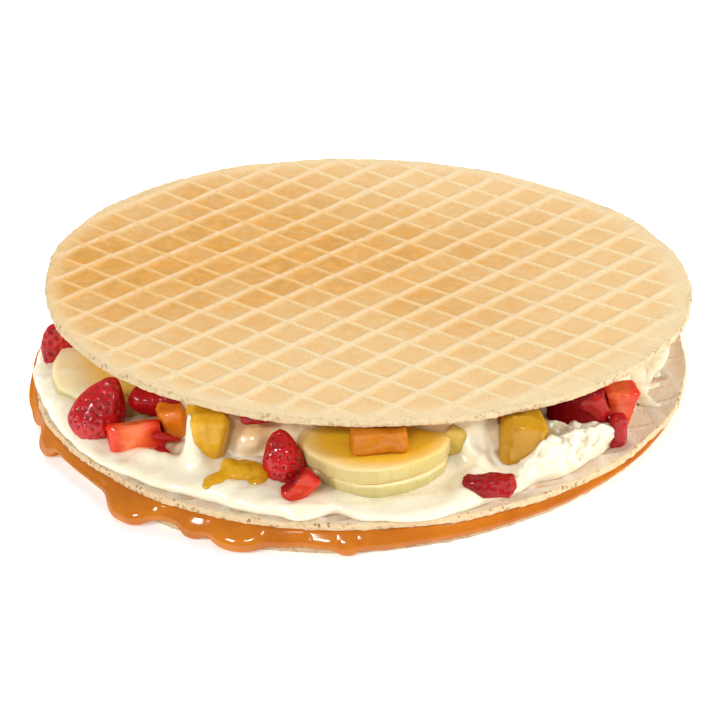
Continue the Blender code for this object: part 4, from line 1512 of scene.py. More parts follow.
@dataclass
class Cream:
    """The cream between the middle and the top wafer, rising round the fruit."""

    steps: int = 960
    samples: int = 72
    foot: float = 73.5 * MM
    edge_height: float = 2.7 * MM
    shelf_height: float = 3.9 * MM
    climb: float = 6.5 * MM
    shoulder: float = 60.0 * MM
    lump: float = 0.45 * MM
    lip: float = 2.2 * MM
    least_shelf: float = 4.5 * MM
    above_all: float = 30.0 * MM
    seen_from: float = 40.0 * MM        # only past this radius does the cream rise against the fruit
    touch: float = 4.5 * MM             # it rises where fruit is nearer than this
    rise: float = 0.5 * MM
    rise_spread: float = 1.3 * MM
    foot_lobes: tuple[Lobe, ...] = (
        Lobe(178.0, 13.0, 0.6), Lobe(-151.0, 8.0, 0.7), Lobe(-121.0, 9.0, -1.6), Lobe(-101.0, 3.0, 1.4),
        Lobe(-95.0, 2.6, -2.4), Lobe(-80.0, 7.0, 2.4), Lobe(-59.0, 4.0, -1.8), Lobe(-22.0, 17.0, -6.0),
        Lobe(16.0, 10.0, -2.6),
        Lobe(48.0, 9.0, 1.2), Lobe(92.0, 12.0, 1.6), Lobe(128.0, 7.0, -1.4),
    )
    height_lobes: tuple[Lobe, ...] = (
        Lobe(-162.0, 14.0, 0.9), Lobe(-101.0, 9.0, 0.4), Lobe(-86.0, 9.0, -0.7), Lobe(-49.0, 11.0, 2.9),
        Lobe(-18.0, 14.0, -1.4),
    )
    shoulder_lobes: tuple[Lobe, ...] = (
        Lobe(-150.0, 12.0, -12.0), Lobe(-113.0, 8.0, -5.0), Lobe(-90.0, 12.0, -12.0), Lobe(-65.5, 4.5, 3.5),
        Lobe(-38.0, 10.0, 0.0), Lobe(-10.0, 14.0, 4.0), Lobe(90.0, 70.0, 6.0),
    )
    folds: tuple[Fold, ...] = (
        Fold((24.5, -61.0), 7.0, 2.2, 60.0, 2.0),
        Fold((41.0, -57.6), 3.6, 2.6, 40.0, 3.4),
        Fold((46.5, -53.0), 4.4, 2.4, 35.0, 2.4),
        Fold((51.5, -49.4), 3.0, 2.0, 60.0, 2.2),
        Fold((36.5, -60.5), 3.0, 1.6, 20.0, 1.6),
        Fold((-46.0, -49.5), 5.0, 2.0, -35.0, 1.4),
        Fold((-25.0, -55.0), 5.0, 2.4, 5.0, 2.2),
        Fold((9.0, -70.4), 12.0, 2.2, 4.0, 0.6),
        Fold((38.5, -58.6), 3.0, 2.0, 40.0, 2.0),
    )
    pushes: tuple[Push, ...] = (
        Push((-24.6, -50.0, 7.5), 3.8, (0.0, -4.8, -0.2)),
        Push((-21.5, -51.5, 9.0), 2.6, (0.0, -2.4, 0.0)),
        Push((27.5, -51.0, 6.5), 4.0, (0.5, -3.0, 0.0)),
        Push((22.6, -54.0, 9.0), 1.3, (0.0, -2.0, 0.3)),
        Push((22.8, -55.6, 7.6), 1.3, (0.0, -1.8, 0.5)),
        Push((23.6, -57.0, 6.2), 1.3, (0.0, -1.6, 0.8)),
        Push((24.8, -58.8, 5.0), 1.5, (0.0, -1.2, 1.0)),
        Push((-66.5, -28.0, 4.0), 4.6, (0.0, 0.0, 2.2)),
        Push((-62.0, -32.0, 4.0), 4.0, (0.0, 0.0, 1.6)),
        Push((40.0, -55.5, 5.5), 2.6, (0.4, -2.0, 1.6)),
        Push((44.5, -53.0, 6.5), 2.0, (0.0, -1.6, 1.6)),
        Push((47.0, -50.5, 6.0), 2.2, (0.6, -1.8, 0.4)),
        Push((52.0, -48.0, 5.0), 2.6, (1.2, -1.4, 1.2)),
        Push((42.0, -58.5, 3.0), 1.8, (0.0, -0.8, 1.2)),
        Push((-45.0, -49.0, 4.0), 3.0, (0.0, -0.6, 1.0)),
        Push((-41.5, -51.5, 4.2), 1.9, (-0.8, 0.2, 1.6)),
        Push((-36.2, -54.4, 4.0), 3.6, (0.0, 0.2, 3.2)),
        Push((-36.4, -54.0, 7.0), 2.4, (0.0, 0.3, 3.6)),
        Push((-36.6, -53.6, 10.2), 1.8, (0.1, 0.2, 3.6)),
        Push((-36.6, -53.3, 13.4), 1.3, (0.1, 0.1, 2.2)),
    )
    ragged_angle: float = -50.0     # the cream is torn into small peaks about this direction
    ragged_spread: float = 12.0
    ragged_from: tuple[float, float] = (50.0 * MM, 58.0 * MM)     # radius where the peaks start and are full
    peak: float = 1.9 * MM
    peak_lean: Triple = (0.25, -0.7, 0.75)
    valleys: tuple[tuple[float, float, int], ...] = ((4.2, 2.2, 53), (2.0, 1.2, 59))
    lumps: tuple[tuple[float, float, int], ...] = ((9.0, 0.75, 41), (4.0, 0.32, 43))
    crease: tuple[float, float, int] = (7.0, 0.9, 47)
    crease_stretch: Triple = (0.6, 1.0, 1.0)
    noise_top: float = 12.0 * MM        # over this height the lumps stay the same
    soft_foot: float = 2.0 * MM         # under this height they fade out
    # where the cream is tinted: the first and last balls are painted warm shade under the top wafer, the
    # middle one fruit staining
    stains_and_painted_light: tuple[Ball, ...] = (
        Ball((-23.0, -49.0, 11.0), (9.0, 8.0, 4.6)),
        Ball((-45.0, -43.0, 6.0), (4.0, 5.0, 3.0)),
        Ball((18.0, -50.0, 12.0), (6.0, 6.0, 3.0)),
    )

    def sections(self, angles: np.ndarray) -> np.ndarray:
        """The outline in each direction, from the foot to the top.

        Args:
            angles: Directions in degrees.

        Returns:
            An array of direction, point, and radius or thickness.
        """
        foot = lobed(angles, self.foot, self.foot_lobes) + wave(angles, 11, 0.35 * MM)
        foot += wave(3.0 * angles, 12, 0.18 * MM)
        shoulder = np.minimum(lobed(angles, self.shoulder, self.shoulder_lobes), foot - self.least_shelf)
        edge = lobed(angles, self.edge_height, self.height_lobes) + wave(angles, 17, self.lump)
        shelf = lobed(angles, self.shelf_height, self.height_lobes) + wave(angles, 23, self.lump)
        middle = 0.5 * (foot - self.lip + shoulder)
        sunk = np.full_like(angles, -0.45 * MM)
        top = np.full_like(angles, self.above_all)
        return outlined(
            (foot - 2.5 * MM, sunk),
            (foot - 0.5 * MM, sunk),
            (foot + 0.2 * MM, 0.2 * edge),
            (foot + 0.1 * MM, 0.62 * edge),
            (foot - 0.9 * MM, 0.95 * edge),
            (foot - self.lip, 1.04 * edge),
            (middle, 0.5 * (edge + shelf) + wave(angles, 29, self.lump)),
            (shoulder, shelf),
            (shoulder - 0.35 * self.climb, shelf + 4.5 * MM),
            (shoulder - self.climb, top),
            (0.5 * shoulder, top),
        )

    def folded(self, x: np.ndarray, y: np.ndarray) -> np.ndarray:
        """How much the folds add to the height over each place.

        Args:
            x: The places' first coordinate.
            y: Their second.

        Returns:
            The height added at each place, in metres.
        """
        total = np.zeros_like(x)
        for fold in self.folds:
            turn = math.radians(fold.turn)
            aside = x - fold.at[0] * MM
            ahead = y - fold.at[1] * MM
            along = aside * math.cos(turn) + ahead * math.sin(turn)
            across = ahead * math.cos(turn) - aside * math.sin(turn)
            spread = (along / (fold.length * MM)) ** 2 + (across / (fold.width * MM)) ** 2
            total += fold.height * MM * np.exp(-spread)
        return total

    def pressed(self, place: np.ndarray, radius: np.ndarray, fruit: BVHTree) -> np.ndarray:
        """How far the cream rises at each point because fruit is pressed in beside it.

        Args:
            place: Points, one row each.
            radius: Their distances from the part's middle.
            fruit: The surface of all the fruit.

        Returns:
            A height for each point.
        """
        press = np.zeros(len(place))
        for index in np.nonzero(radius > self.seen_from)[0]:
            gap = fruit.find_nearest(Vector(place[index]), self.touch)[3]
            if gap is not None:
                press[index] = self.rise * math.exp(-((gap / self.rise_spread) ** 2))
        return press

    def build(self, material: bpy.types.Material, fruit: BVHTree) -> None:
        """Loft the outlines, add lumps and folds, and raise the cream where fruit is pressed in.

        Args:
            material: The cream.
            fruit: The surface of all the fruit.
        """
        angles = np.linspace(-180.0, 180.0, self.steps, endpoint=False)
        x, y, curve = swept(angles, self.sections(angles), self.samples)
        thickness = curve[..., 1]
        flat = rows(x, y, np.minimum(thickness, self.noise_top))
        lumps = sum(roughness_at(flat, size * MM, seed) * height * MM for size, height, seed in self.lumps)
        size, height, seed = self.crease
        creases = np.abs(roughness_at(flat * np.array(self.crease_stretch), size * MM, seed))
        lumps += (0.25 - creases) * height * MM
        share = np.clip(thickness / self.soft_foot, 0.0, 1.0)
        thickness = thickness + (lumps.reshape(x.shape) + self.folded(x, y)) * share
        z = MIDDLE_LIE.height(x, y) + thickness
        z = z + self.pressed(rows(x, y, z), curve[..., 0].reshape(-1), fruit).reshape(z.shape) * share
        z = np.minimum(z, top_underside(x, y) + 0.1 * MM)
        points = rows(x, y, z)
        torn = bump(np.tile(angles, self.samples), self.ragged_angle, self.ragged_spread)
        start, full = self.ragged_from
        torn *= share.reshape(-1) * smoothstep((from_middle(points) - start) / (full - start))
        peaks = 1.0 - sum(
            depth * np.abs(roughness_at(points, size * MM, seed)) for size, depth, seed in self.valleys
        )
        points += np.array(self.peak_lean) * (peaks * torn * self.peak)[:, None]
        for push in self.pushes:
            place = Ball(push.at, (1.0, 1.0, 1.0)).matrix().translation
            away = np.linalg.norm(points - np.array(place), axis=1) / (push.reach * MM)
            points += np.array(push.move) * MM * np.exp(-away ** 2)[:, None]
        lowest = MIDDLE_LIE.height(points[:, 0], points[:, 1]) - 0.6 * MM
        points[:, 2] = np.maximum(points[:, 2], lowest)
        mesh = mesh_of("cream", points, ring_faces(self.samples, self.steps))
        keep_under_top(mesh)
        # tinted by the balls above: painted warm shade, and fruit staining
        stain_and_shade = np.zeros(len(points))
        for ball in self.stains_and_painted_light:
            local = moved(points, ball.matrix().inverted())
            stain_and_shade = np.maximum(stain_and_shade, np.exp(-(local ** 2).sum(axis=1)))
        store(mesh, "stain_and_shade", 0.9 * stain_and_shade)
        dress(mesh, material)
        settle(linked("cream_spread", mesh), Slot.CREAM, "cream")


@dataclass
class Smears:
    """Thin smears of cream on the middle wafer, past the edge of the spread cream."""

    balls: tuple[Ball, ...] = (
        Ball((60.2, -15.0, 0.8), (5.4, 6.4, 1.7)),
        Ball((62.4, -21.0, 0.4), (3.0, 5.2, 1.0)),
        Ball((63.2, -25.8, 0.2), (2.0, 3.6, 0.9), (0.0, 0.0, 12.0)),
        Ball((65.0, -28.4, 0.0), (2.4, 1.1, 0.6), (0.0, 0.0, -14.0)),
        Ball((65.4, -20.4, 0.1), (3.4, 1.2, 0.6), (0.0, 0.0, 26.0)),
        Ball((65.4, -13.6, 0.1), (4.2, 2.2, 0.7), (0.0, 0.0, -30.0)),
    )

    def build(self, material: bpy.types.Material) -> None:
        """Build the smears as one piece.

        Args:
            material: The cream.
        """
        obj = melted("cream_smears", self.balls, 0.3 * MM, 8, fill=0.9 * MM)
        swell(obj.data, (3.0, 0.3, 71))
        keep_under_top(obj.data)
        dress(obj.data, material)
        settle(obj, Slot.CREAM)


# ---- Fruit ----

@dataclass(frozen=True)
class BerryHalf:
    """A strawberry cut lengthwise: where it stands, its size in millimetres and its turn."""

    node: str
    at: tuple[float, float]
    lift: float
    size: Triple
    turn: Triple
    cut: float
    whole: bool = False             # whether skin covers its cut side too
    seeded: bool = True
    fullness: float = 1.2
    taper: float = 0.56
    depth: float = 0.62
    lean: float = 0.0               # how far its tip leans over, in millimetres
    core: float = 0.45              # reach of its pale core, as a share of its longest side

    def body(self) -> bpy.types.Mesh:
        """The berry's form, tip up and cut flat behind, settled over the middle wafer.

        Returns:
            A closed mesh.
        """
        bm = bmesh.new()
        bmesh.ops.create_uvsphere(bm, u_segments=48, v_segments=36, radius=1.0)
        for vertex in bm.verts:
            height = 0.5 * (vertex.co.z + 1.0)
            full = self.fullness - self.taper * height
            vertex.co.x *= 0.5 * self.size[0] * MM * full
            vertex.co.x += self.lean * MM * (height - 0.5)
            vertex.co.y *= self.size[1] * MM * full * self.depth
            vertex.co.z *= 0.5 * self.size[2] * MM
        half = bmesh.ops.bisect_plane(
            bm, geom=bm.verts[:] + bm.edges[:] + bm.faces[:], clear_outer=True,
            plane_co=(0.0, self.cut * self.size[1] * MM, 0.0), plane_no=(0.0, 1.0, 0.0),
        )
        border = [item for item in half["geom_cut"] if isinstance(item, bmesh.types.BMEdge)]
        bmesh.ops.contextual_create(bm, geom=border)
        bmesh.ops.transform(bm, matrix=self.rotation().to_4x4(), verts=bm.verts[:])
        bmesh.ops.translate(bm, verts=bm.verts[:], vec=(self.at[0] * MM, self.at[1] * MM, 0.0))
        low = min(v.co.z - float(MIDDLE_LIE.height(v.co.x, v.co.y)) for v in bm.verts)
        bmesh.ops.translate(bm, verts=bm.verts[:], vec=(0.0, 0.0, GAP + self.lift * MM - low))
        return mesh_from(bm, self.node)

    def rotation(self) -> Matrix:
        """The turn from the berry's own frame."""
        return Euler([math.radians(a) for a in self.turn]).to_matrix()


@dataclass(frozen=True)
class Fit:
    """Small changes that bring a piece closer to its look: a shift in millimetres and shares of its size."""

    shift: Triple = (0.0, 0.0, 0.0)
    scale: Triple = (1.0, 1.0, 1.0)
    back_drop: float = 0.0          # share of its height that it loses towards the back

    def apply(self, mesh: bpy.types.Mesh) -> None:
        """Change a mesh about the middle of its foot.

        Args:
            mesh: The mesh.
        """
        points = points_of(mesh)
        low = points.min(axis=0)
        high = points.max(axis=0)
        foot = np.array([0.5 * (low[0] + high[0]), 0.5 * (low[1] + high[1]), low[2]])
        back = (points[:, 1] - low[1]) / (high[1] - low[1])
        points = (points - foot) * np.array(self.scale)
        points[:, 2] *= 1.0 - self.back_drop * back
        move_points(mesh, points + foot + np.array(self.shift) * MM)


@dataclass(frozen=True)
class CutPiece:
    """A diced or sliced piece, made from its solid."""

    node: str
    outside: Outside = Outside.NONE
    seeds: bool = False
    core: float = 0.0               # how much of the pale core its cut faces show
    painted_shade: float = 0.0              # how dark it is with painted shade
    fit: Fit = Fit()


@dataclass(frozen=True)
class TintPatch:
    """A tint on a piece, partly juices of other fruit and partly painted light and shade: how strong, where,
    and how far away it starts to fade and ends.
    """

    amount: float
    at: tuple[float, float] = (0.0, 0.0)            # all lengths in millimetres
    reach: tuple[float, float] = (1000.0, 2000.0)
    stretch: float = 1.0

    def on(self, points: np.ndarray) -> np.ndarray:
        """How strongly it stains each point.

        Args:
            points: Points, one row each.

        Returns:
            One share for each point.
        """
        aside = (points[:, 0] - self.at[0] * MM) * self.stretch
        away = np.hypot(aside, points[:, 1] - self.at[1] * MM)
        full, none = self.reach
        return self.amount * (1.0 - smoothstep((away - full * MM) / ((none - full) * MM)))


@dataclass(frozen=True)
class SliceMarks:
    """A banana slice's marks: its greener wall, the brim round its faces and the seams down its wall."""

    wall: float = 0.78
    brim: float = 0.15
    brim_at: float = 0.6            # how level the surface is there, from 0 to 1
    brim_spread: float = 0.22
    seam: float = 0.14
    seam_width: float = 0.3
    seams: float = 15.0             # turns of the pattern round the slice
    wander: float = 1.6
    wanders: float = 4.0
    wall_untinted: float = 0.75          # share of the tint of painted light and juices that the wall does without

    def on(self, points: np.ndarray, normals: np.ndarray, number: int) -> tuple[np.ndarray, ...]:
        """Mark a slice.

        Args:
            points: Its points, one row each.
            normals: Their normals.
            number: Which pattern its seams have.

        Returns:
            How much of the wall's colour, a seam, and the tint of painted light and juices each point takes.
        """
        level = np.abs(normals[:, 2])
        side = smoothstep((0.75 - level) / 0.4)
        middle = 0.5 * (points.min(axis=0) + points.max(axis=0))
        turn = np.arctan2(points[:, 1] - middle[1], points[:, 0] - middle[0])
        lines = np.abs(np.sin(self.seams * turn + self.wander * np.sin(self.wanders * turn + number)))
        brim = np.exp(-(((level - self.brim_at) / self.brim_spread) ** 2))
        wall = self.wall * side + self.brim * brim
        seam = self.seam * side * (1.0 - smoothstep(lines / self.seam_width))
        return wall, seam, 1.0 - self.wall_untinted * side


class Fruit:
    """All the fruit: strawberry halves, strawberry pieces, banana slices, mango and papaya."""

    halves: tuple[BerryHalf, ...] = (
        BerryHalf("strawberry_half_left", (-56.8, -36.0), 0.2, (12.7, 9.0, 16.0), (-12, 19, -14), 0.15,
                  fullness=1.26, taper=0.72, lean=1.4),
        BerryHalf("strawberry_half_mid", (-16.9, -59.0), 0.8, (9.6, 7.4, 13.0), (-8, -7, -4), 0.15),
        BerryHalf("strawberry_tip_front", (27.3, -52.4), 8.2, (6.6, 5.6, 9.0), (180, 0, 0), 0.0,
                  seeded=False),
        BerryHalf("strawberry_tip_left", (-68.2, -4.2), 0.1, (8.8, 7.4, 12.6), (176, 14, 0), 0.25,
                  whole=True),
        BerryHalf("strawberry_half_rear_right", (60.4, 27.6), 0.2, (8.0, 11.0, 12.0), (84, 12, 40), 0.2),
        BerryHalf("strawberry_half_rear_left", (-52.6, 42.2), 0.2, (8.6, 7.0, 12.0), (86, 20, -52), 0.2),
    )
    strawberry_cuts: tuple[CutPiece, ...] = (
        CutPiece("strawberry_dice_left", core=0.6, fit=Fit((-0.8, -0.3, 0.0), (1.0, 0.8, 1.04), 0.4)),
        CutPiece("strawberry_cut_mid", Outside.TOP, True, core=0.05, painted_shade=0.3,
                 fit=Fit((0.0, 1.2, 0.0), (0.82, 0.82, 0.82))),
        CutPiece("strawberry_dice_front", Outside.ALL, True, painted_shade=0.45,
                 fit=Fit((0.4, -0.3, 0.0), (0.96, 0.9, 0.82), 0.2)),
        CutPiece("strawberry_dice_right", Outside.ALL, painted_shade=1.0),
        CutPiece("strawberry_wedge_right", core=0.4, painted_shade=0.25),
        CutPiece("strawberry_stick_right", Outside.ALL, True, painted_shade=0.35),
        CutPiece("strawberry_sliver_front", Outside.ALL, painted_shade=0.3),
        CutPiece("strawberry_dice_rear", Outside.TOP, True, core=0.5),
    )
    fits: dict[str, Fit] = {
        "mango_block_left": Fit((0.3, -2.4, 0.0), (0.96, 1.0, 1.0)),
        "papaya_sliver_right": Fit((-3.0, 0.0, 0.0), (0.7, 0.8, 0.6)),
        "mango_block_front": Fit((-0.6, 0.0, 0.0), (0.86, 1.0, 1.0)),
        "papaya_dice_left": Fit((-0.5, -2.4, 0.0), (1.0, 1.0, 1.0)),
        "banana_slice_left": Fit((0.0, -3.0, 0.0), (1.02, 1.2, 1.0)),
        "papaya_dice_front": Fit((0.2, -2.8, -0.2), (0.98, 1.0, 1.0)),
        "banana_slice_upper": Fit((0.0, -1.7, 0.0), (1.0, 1.0, 0.94)),
        "banana_slice_lower": Fit((0.4, -2.0, -0.2), (1.0, 1.0, 1.0)),
        "banana_bit": Fit((-0.6, 0.0, 0.0), (1.3, 1.0, 1.0)),
    }
    pulp: tuple[Ball, ...] = (
        Ball((-25.4, -58.6, 4.4), (4.3, 2.9, 2.0), (0.0, 0.0, 8.0)),
        Ball((-21.9, -59.6, 4.0), (2.7, 3.0, 1.9)),
        Ball((-28.0, -57.6, 5.0), (2.5, 2.0, 1.7), (0.0, 20.0, 0.0)),
        Ball((-22.8, -61.8, 3.2), (2.4, 2.4, 1.7)),
        Ball((-29.3, -59.8, 3.9), (2.6, 1.8, 1.5), (0.0, -20.0, 30.0)),
        Ball((-31.2, -61.0, 3.2), (3.0, 2.5, 1.8), (0.0, 0.0, 25.0)),
        Ball((-32.6, -61.8, 2.6), (2.2, 2.0, 1.5)),
    )
    wedge: tuple[Ball, ...] = (
        Ball((-47.2, -35.4, 9.8), (3.6, 3.2, 3.2), (0.0, 24.0, 0.0)),
        Ball((-44.4, -36.2, 9.6), (4.6, 3.2, 3.5), (0.0, 6.0, 0.0)),
        Ball((-40.4, -36.8, 10.8), (5.4, 3.0, 2.8), (0.0, -12.0, 0.0)),
        Ball((-35.8, -37.8, 12.2), (4.6, 2.6, 1.9), (0.0, -14.0, 0.0)),
    )
    shreds: tuple[Ball, ...] = (
        Ball((-43.2, -46.6, 6.6), (2.6, 1.0, 1.2), (0.0, 12.0, 0.0)),
        Ball((-41.0, -46.8, 6.2), (2.2, 0.45, 0.5), (0.0, 10.0, -8.0)),
        Ball((-43.4, -48.4, 3.9), (2.0, 1.0, 1.0), (0.0, 10.0, 0.0)),
        Ball((-41.0, -49.4, 3.5), (2.0, 0.4, 0.45), (0.0, 12.0, -10.0)),
        Ball((35.9, -59.2, 4.6), (1.2, 0.7, 0.6), (0.0, -20.0, 0.0)),
        Ball((49.6, -44.7, 9.8), (4.2, 1.5, 3.4), (0.0, 30.0, 0.0)),
        Ball((52.0, -44.6, 7.4), (2.2, 1.3, 2.4), (0.0, 30.0, 0.0)),
    )
    finishes: dict[Slot, FleshFinish] = {
        Slot.MANGO: FleshFinish(
            "mango_ripe", (0.66, 0.32, 0.006), (0.76, 0.42, 0.015), (0.50, 0.21, 0.004),
            # darker: painted shade on the mango pieces that take it
            juice_and_light=(0.42, 0.20, 0.003), gloss=0.8,
        ),
        Slot.PAPAYA: FleshFinish(
            "papaya_ripe", (0.51, 0.155, 0.005), (0.58, 0.21, 0.010), (0.42, 0.11, 0.003),
            # brighter: painted light on the papaya piece that takes it, against the shade where it stands
            juice_and_light=(0.90, 0.22, 0.014), fibre=0.4, gloss=0.6,
        ),
        Slot.BANANA: FleshFinish(
            # takes the default amber tint: painted warm bounce light and shade, partly fruit juices
            "banana_sliced", (0.97, 0.80, 0.45), (0.97, 0.87, 0.60), (0.50, 0.41, 0.12), fibre=0.05,
        ),
    }
    half_voxel: float = 0.28 * MM
    cut_voxel: float = 0.33 * MM
    slice_voxel: float = 0.5 * MM
    block_voxel: float = 0.36 * MM
    small_seeds: Seeds = Seeds(spacing=1.5 * MM, length=0.5 * MM, dimple=0.22 * MM)
    stains_and_painted_light: dict[str, TintPatch] = {
        # painted shade: the whole piece darker
        "mango_block_front": TintPatch(0.75),
        # painted light: the whole piece brighter against the shade where it lies
        "papaya_dice_left": TintPatch(0.5),
        # painted shade towards the top wafer's rim, partly fruit juices
        "banana_slice_left": TintPatch(0.8, reach=(60.0, 67.0)),
        # painted warm light thrown back from the papaya dice on it, with shade, partly fruit juices
        "banana_slice_upper": TintPatch(1.0, (3.5, -56.0), (8.0, 15.0), 0.75),
    }
    flesh_nodes: dict[Slot, tuple[str, ...]] = {
        Slot.MANGO: (
            "mango_block_left", "mango_block_front", "mango_block_rear_left", "mango_dice_right",
            "mango_dice_rear",
        ),
        Slot.PAPAYA: (
            "papaya_dice_left", "papaya_dice_front", "papaya_dice_rear", "papaya_dice_rear_left",
            "papaya_sliver_right",
        ),
        Slot.BANANA: (
            "banana_slice_lower", "banana_slice_upper", "banana_slice_left", "banana_slice_rear_right",
            "banana_slice_rear_left", "banana_bit",
        ),
    }

    def __init__(self, effects: Effects, nodes: dict[str, bpy.types.Object]) -> None:
        """Prepare the finishes.

        Args:
            effects: The shared shader groups.
            nodes: The frame's solids by name.
        """
        self.nodes = nodes
        self.berry = BerryFinish().material(effects)
        self.seed = SeedFinish().material(effects)
        self.flesh = {slot: finish.material(effects) for slot, finish in self.finishes.items()}

    def surface(self) -> BVHTree:
        """The surface of all the fruit's solids, for the cream to rise against.

        Returns:
            A tree to ask for the surface under or over a place.
        """
        points = []
        faces = []
        for name, node in self.nodes.items():
            if name.split("_")[0] in ("strawberry", "banana", "mango", "papaya"):
                start = len(points)
                points += [vertex.co.copy() for vertex in node.data.vertices]
                faces += [[start + index for index in polygon.vertices] for polygon in node.data.polygons]
        return BVHTree.FromPolygons(points, faces)

    def finish_berry(self, obj: bpy.types.Object, node: str, seeds: Seeds | None, number: int) -> None:
        """Colour a strawberry piece, sow its seeds and hang it on the body.

        Args:
            obj: The piece, with its attributes.
            node: The solid that it replaces.
            seeds: Its seeds, or None for a plain piece.
            number: Number of the seeds' random draw.
        """
        if seeds is None:
            dress(obj.data, self.berry)
        else:
            seeds.sow(obj, number, self.berry, self.seed)
        keep_under_top(obj.data)
        settle(obj, Slot.STRAWBERRY, node)

    def build_half(self, half: BerryHalf, number: int) -> None:
        """Build one strawberry half with seeds in its skin.

        Args:
            half: Its form and place.
            number: Which pattern of noise and seeds it has.
        """
        obj = linked(half.node + "_ripe", half.body())
        mesh = remeshed(obj, self.half_voxel, 4)
        swell(mesh, (3.4, 0.22, number))
        points = points_of(mesh)
        back = np.array(half.rotation() @ Vector((0.0, 1.0, 0.0)))
        cut_side = smoothstep((normals_of(mesh) @ back - 0.55) / 0.3)
        away = np.linalg.norm(points - points.mean(axis=0), axis=1) / (half.core * max(half.size) * MM)
        store(mesh, "skin", np.ones(len(points)) if half.whole else 1.0 - cut_side)
        store(mesh, "core", 1.0 - smoothstep(away))
        self.finish_berry(obj, half.node, Seeds() if half.seeded else None, number)

    def build_cut(self, piece: CutPiece, number: int) -> None:
        """Build one diced strawberry piece.

        Args:
            piece: Which solid it is and how it looks.
            number: Which pattern of noise and seeds it has.
        """
        obj = merged_copy(self.nodes[piece.node], piece.node + "_cut")
        mesh = remeshed(obj, self.cut_voxel, 4)
        piece.fit.apply(mesh)
        swell(mesh, (3.0, 0.35, 20 + number), (1.1, 0.10, 40 + number))
        points = points_of(mesh)
        facing = {
            Outside.NONE: np.zeros(len(points)),
            Outside.TOP: smoothstep((normals_of(mesh)[:, 2] - 0.45) / 0.2),
            Outside.ALL: np.ones(len(points)),
        }[piece.outside]
        low = points[:, 0].min()
        across = (points[:, 0] - low) / (points[:, 0].max() - low)
        store(mesh, "skin", facing)
        store(mesh, "core", piece.core * (1.0 - smoothstep((np.abs(2.0 * across - 1.0) - 0.1) / 0.7)))
        # painted shade, darker towards the piece's left side
        store(mesh, "painted_shade", piece.painted_shade * (1.15 - 0.6 * across))
        self.finish_berry(obj, piece.node, self.small_seeds if piece.seeds else None, 60 + number)

    def build_flesh(self, slot: Slot, node: str, number: int) -> None:
        """Build one piece of mango, papaya or banana.

        Args:
            slot: Which fruit it is.
            node: The solid that it replaces.
            number: Which pattern of noise and seeds it has.
        """
        obj = merged_copy(self.nodes[node], node + "_cut")
        is_slice = node.startswith("banana_slice")
        mesh = remeshed(obj, *((self.slice_voxel, 3) if is_slice else (self.block_voxel, 5)))
        if node in self.fits:
            self.fits[node].apply(mesh)
        if is_slice:
            swell(mesh, (4.0, 0.18, 80 + number))
        else:
            swell(mesh, (4.0, 0.45, 80 + number), (1.3, 0.12, 90 + number))
        points = points_of(mesh)
        wall = rib = np.zeros(len(points))
        # painted light and shade, partly fruit juices, on the pieces listed above
        juice_and_light = self.stains_and_painted_light.get(node, TintPatch(0.0)).on(points)
        # the banana bit takes the wall colour all over and a fixed share of the amber tint of painted warm
        # light and shade
        if node == "banana_bit":
            wall = wall + 1.0
            juice_and_light = juice_and_light + 0.35
        elif slot is Slot.BANANA:
            wall, rib, taken = SliceMarks().on(points, normals_of(mesh), number)
            juice_and_light = juice_and_light * taken
        for key, values in (("wall", wall), ("rib", rib), ("juice_and_light", juice_and_light)):
            store(mesh, key, values)
        dress(mesh, self.flesh[slot])
        keep_under_top(mesh)
        settle(obj, slot, node)

    def build_soft(self) -> None:
        """Build the soft mango pulp and the strawberry shreds."""
        pulp = melted("mango_pulp", self.pulp, 0.24 * MM, 4)
        swell(pulp.data, (2.2, 0.4, 61))
        dress(pulp.data, self.flesh[Slot.MANGO])
        settle(pulp, Slot.MANGO, "mango_pulp_mid", "mango_pulp_front")
        for name, balls, skin, nodes in (
            ("strawberry_shreds", self.shreds, 0.75, ()),
            ("strawberry_wedge", self.wedge, 1.0, ("strawberry_wedge_left",)),
        ):
            red = melted(name, balls, 0.22 * MM, 9)
            swell(red.data, (2.4, 0.25, 67))
            keep_under_top(red.data)
            # an even share of painted shade
            for key, value in (("skin", skin), ("painted_shade", 0.35)):
                store(red.data, key, np.full(len(red.data.vertices), value))
            dress(red.data, self.berry)
            settle(red, Slot.STRAWBERRY, *nodes)

    def build(self) -> None:
        """Build every piece in order."""
        for number, half in enumerate(self.halves):
            self.build_half(half, number)
        for number, piece in enumerate(self.strawberry_cuts):
            self.build_cut(piece, number)
        number = 0
        for slot, names in self.flesh_nodes.items():
            for node in names:
                self.build_flesh(slot, node, number)
                number += 1
        self.build_soft()


# ---- Studio ----

@dataclass(frozen=True)
class Camera:
    """The camera: a long lens that looks down at the open front."""

    image_side: float = 720.0           # pixels
    focal_pixels: float = 2945.0
    distance: float = 682.7 * MM
    elevation: float = 29.19
    roll: float = -3.05
    target: Triple = (0.55 * MM, 0.0, 4.64 * MM)
    sensor: float = 36.0

    def build(self) -> None:
        """Place the camera and make it the scene's."""
        data = bpy.data.cameras.new("camera")
        data.sensor_width = self.sensor
        data.lens = self.focal_pixels / self.image_side * self.sensor
        data.clip_start = 0.01
        obj = linked("camera", data)
        tilt = math.radians(self.elevation)
        forward = Vector((0.0, math.cos(tilt), -math.sin(tilt)))
        obj.rotation_mode = "QUATERNION"
        roll = Matrix.Rotation(math.radians(self.roll), 3, "Z")
        obj.rotation_quaternion = (forward.to_track_quat("-Z", "Y").to_matrix() @ roll).to_quaternion()
        obj.location = Vector(self.target) - self.distance * forward
        bpy.context.scene.camera = obj


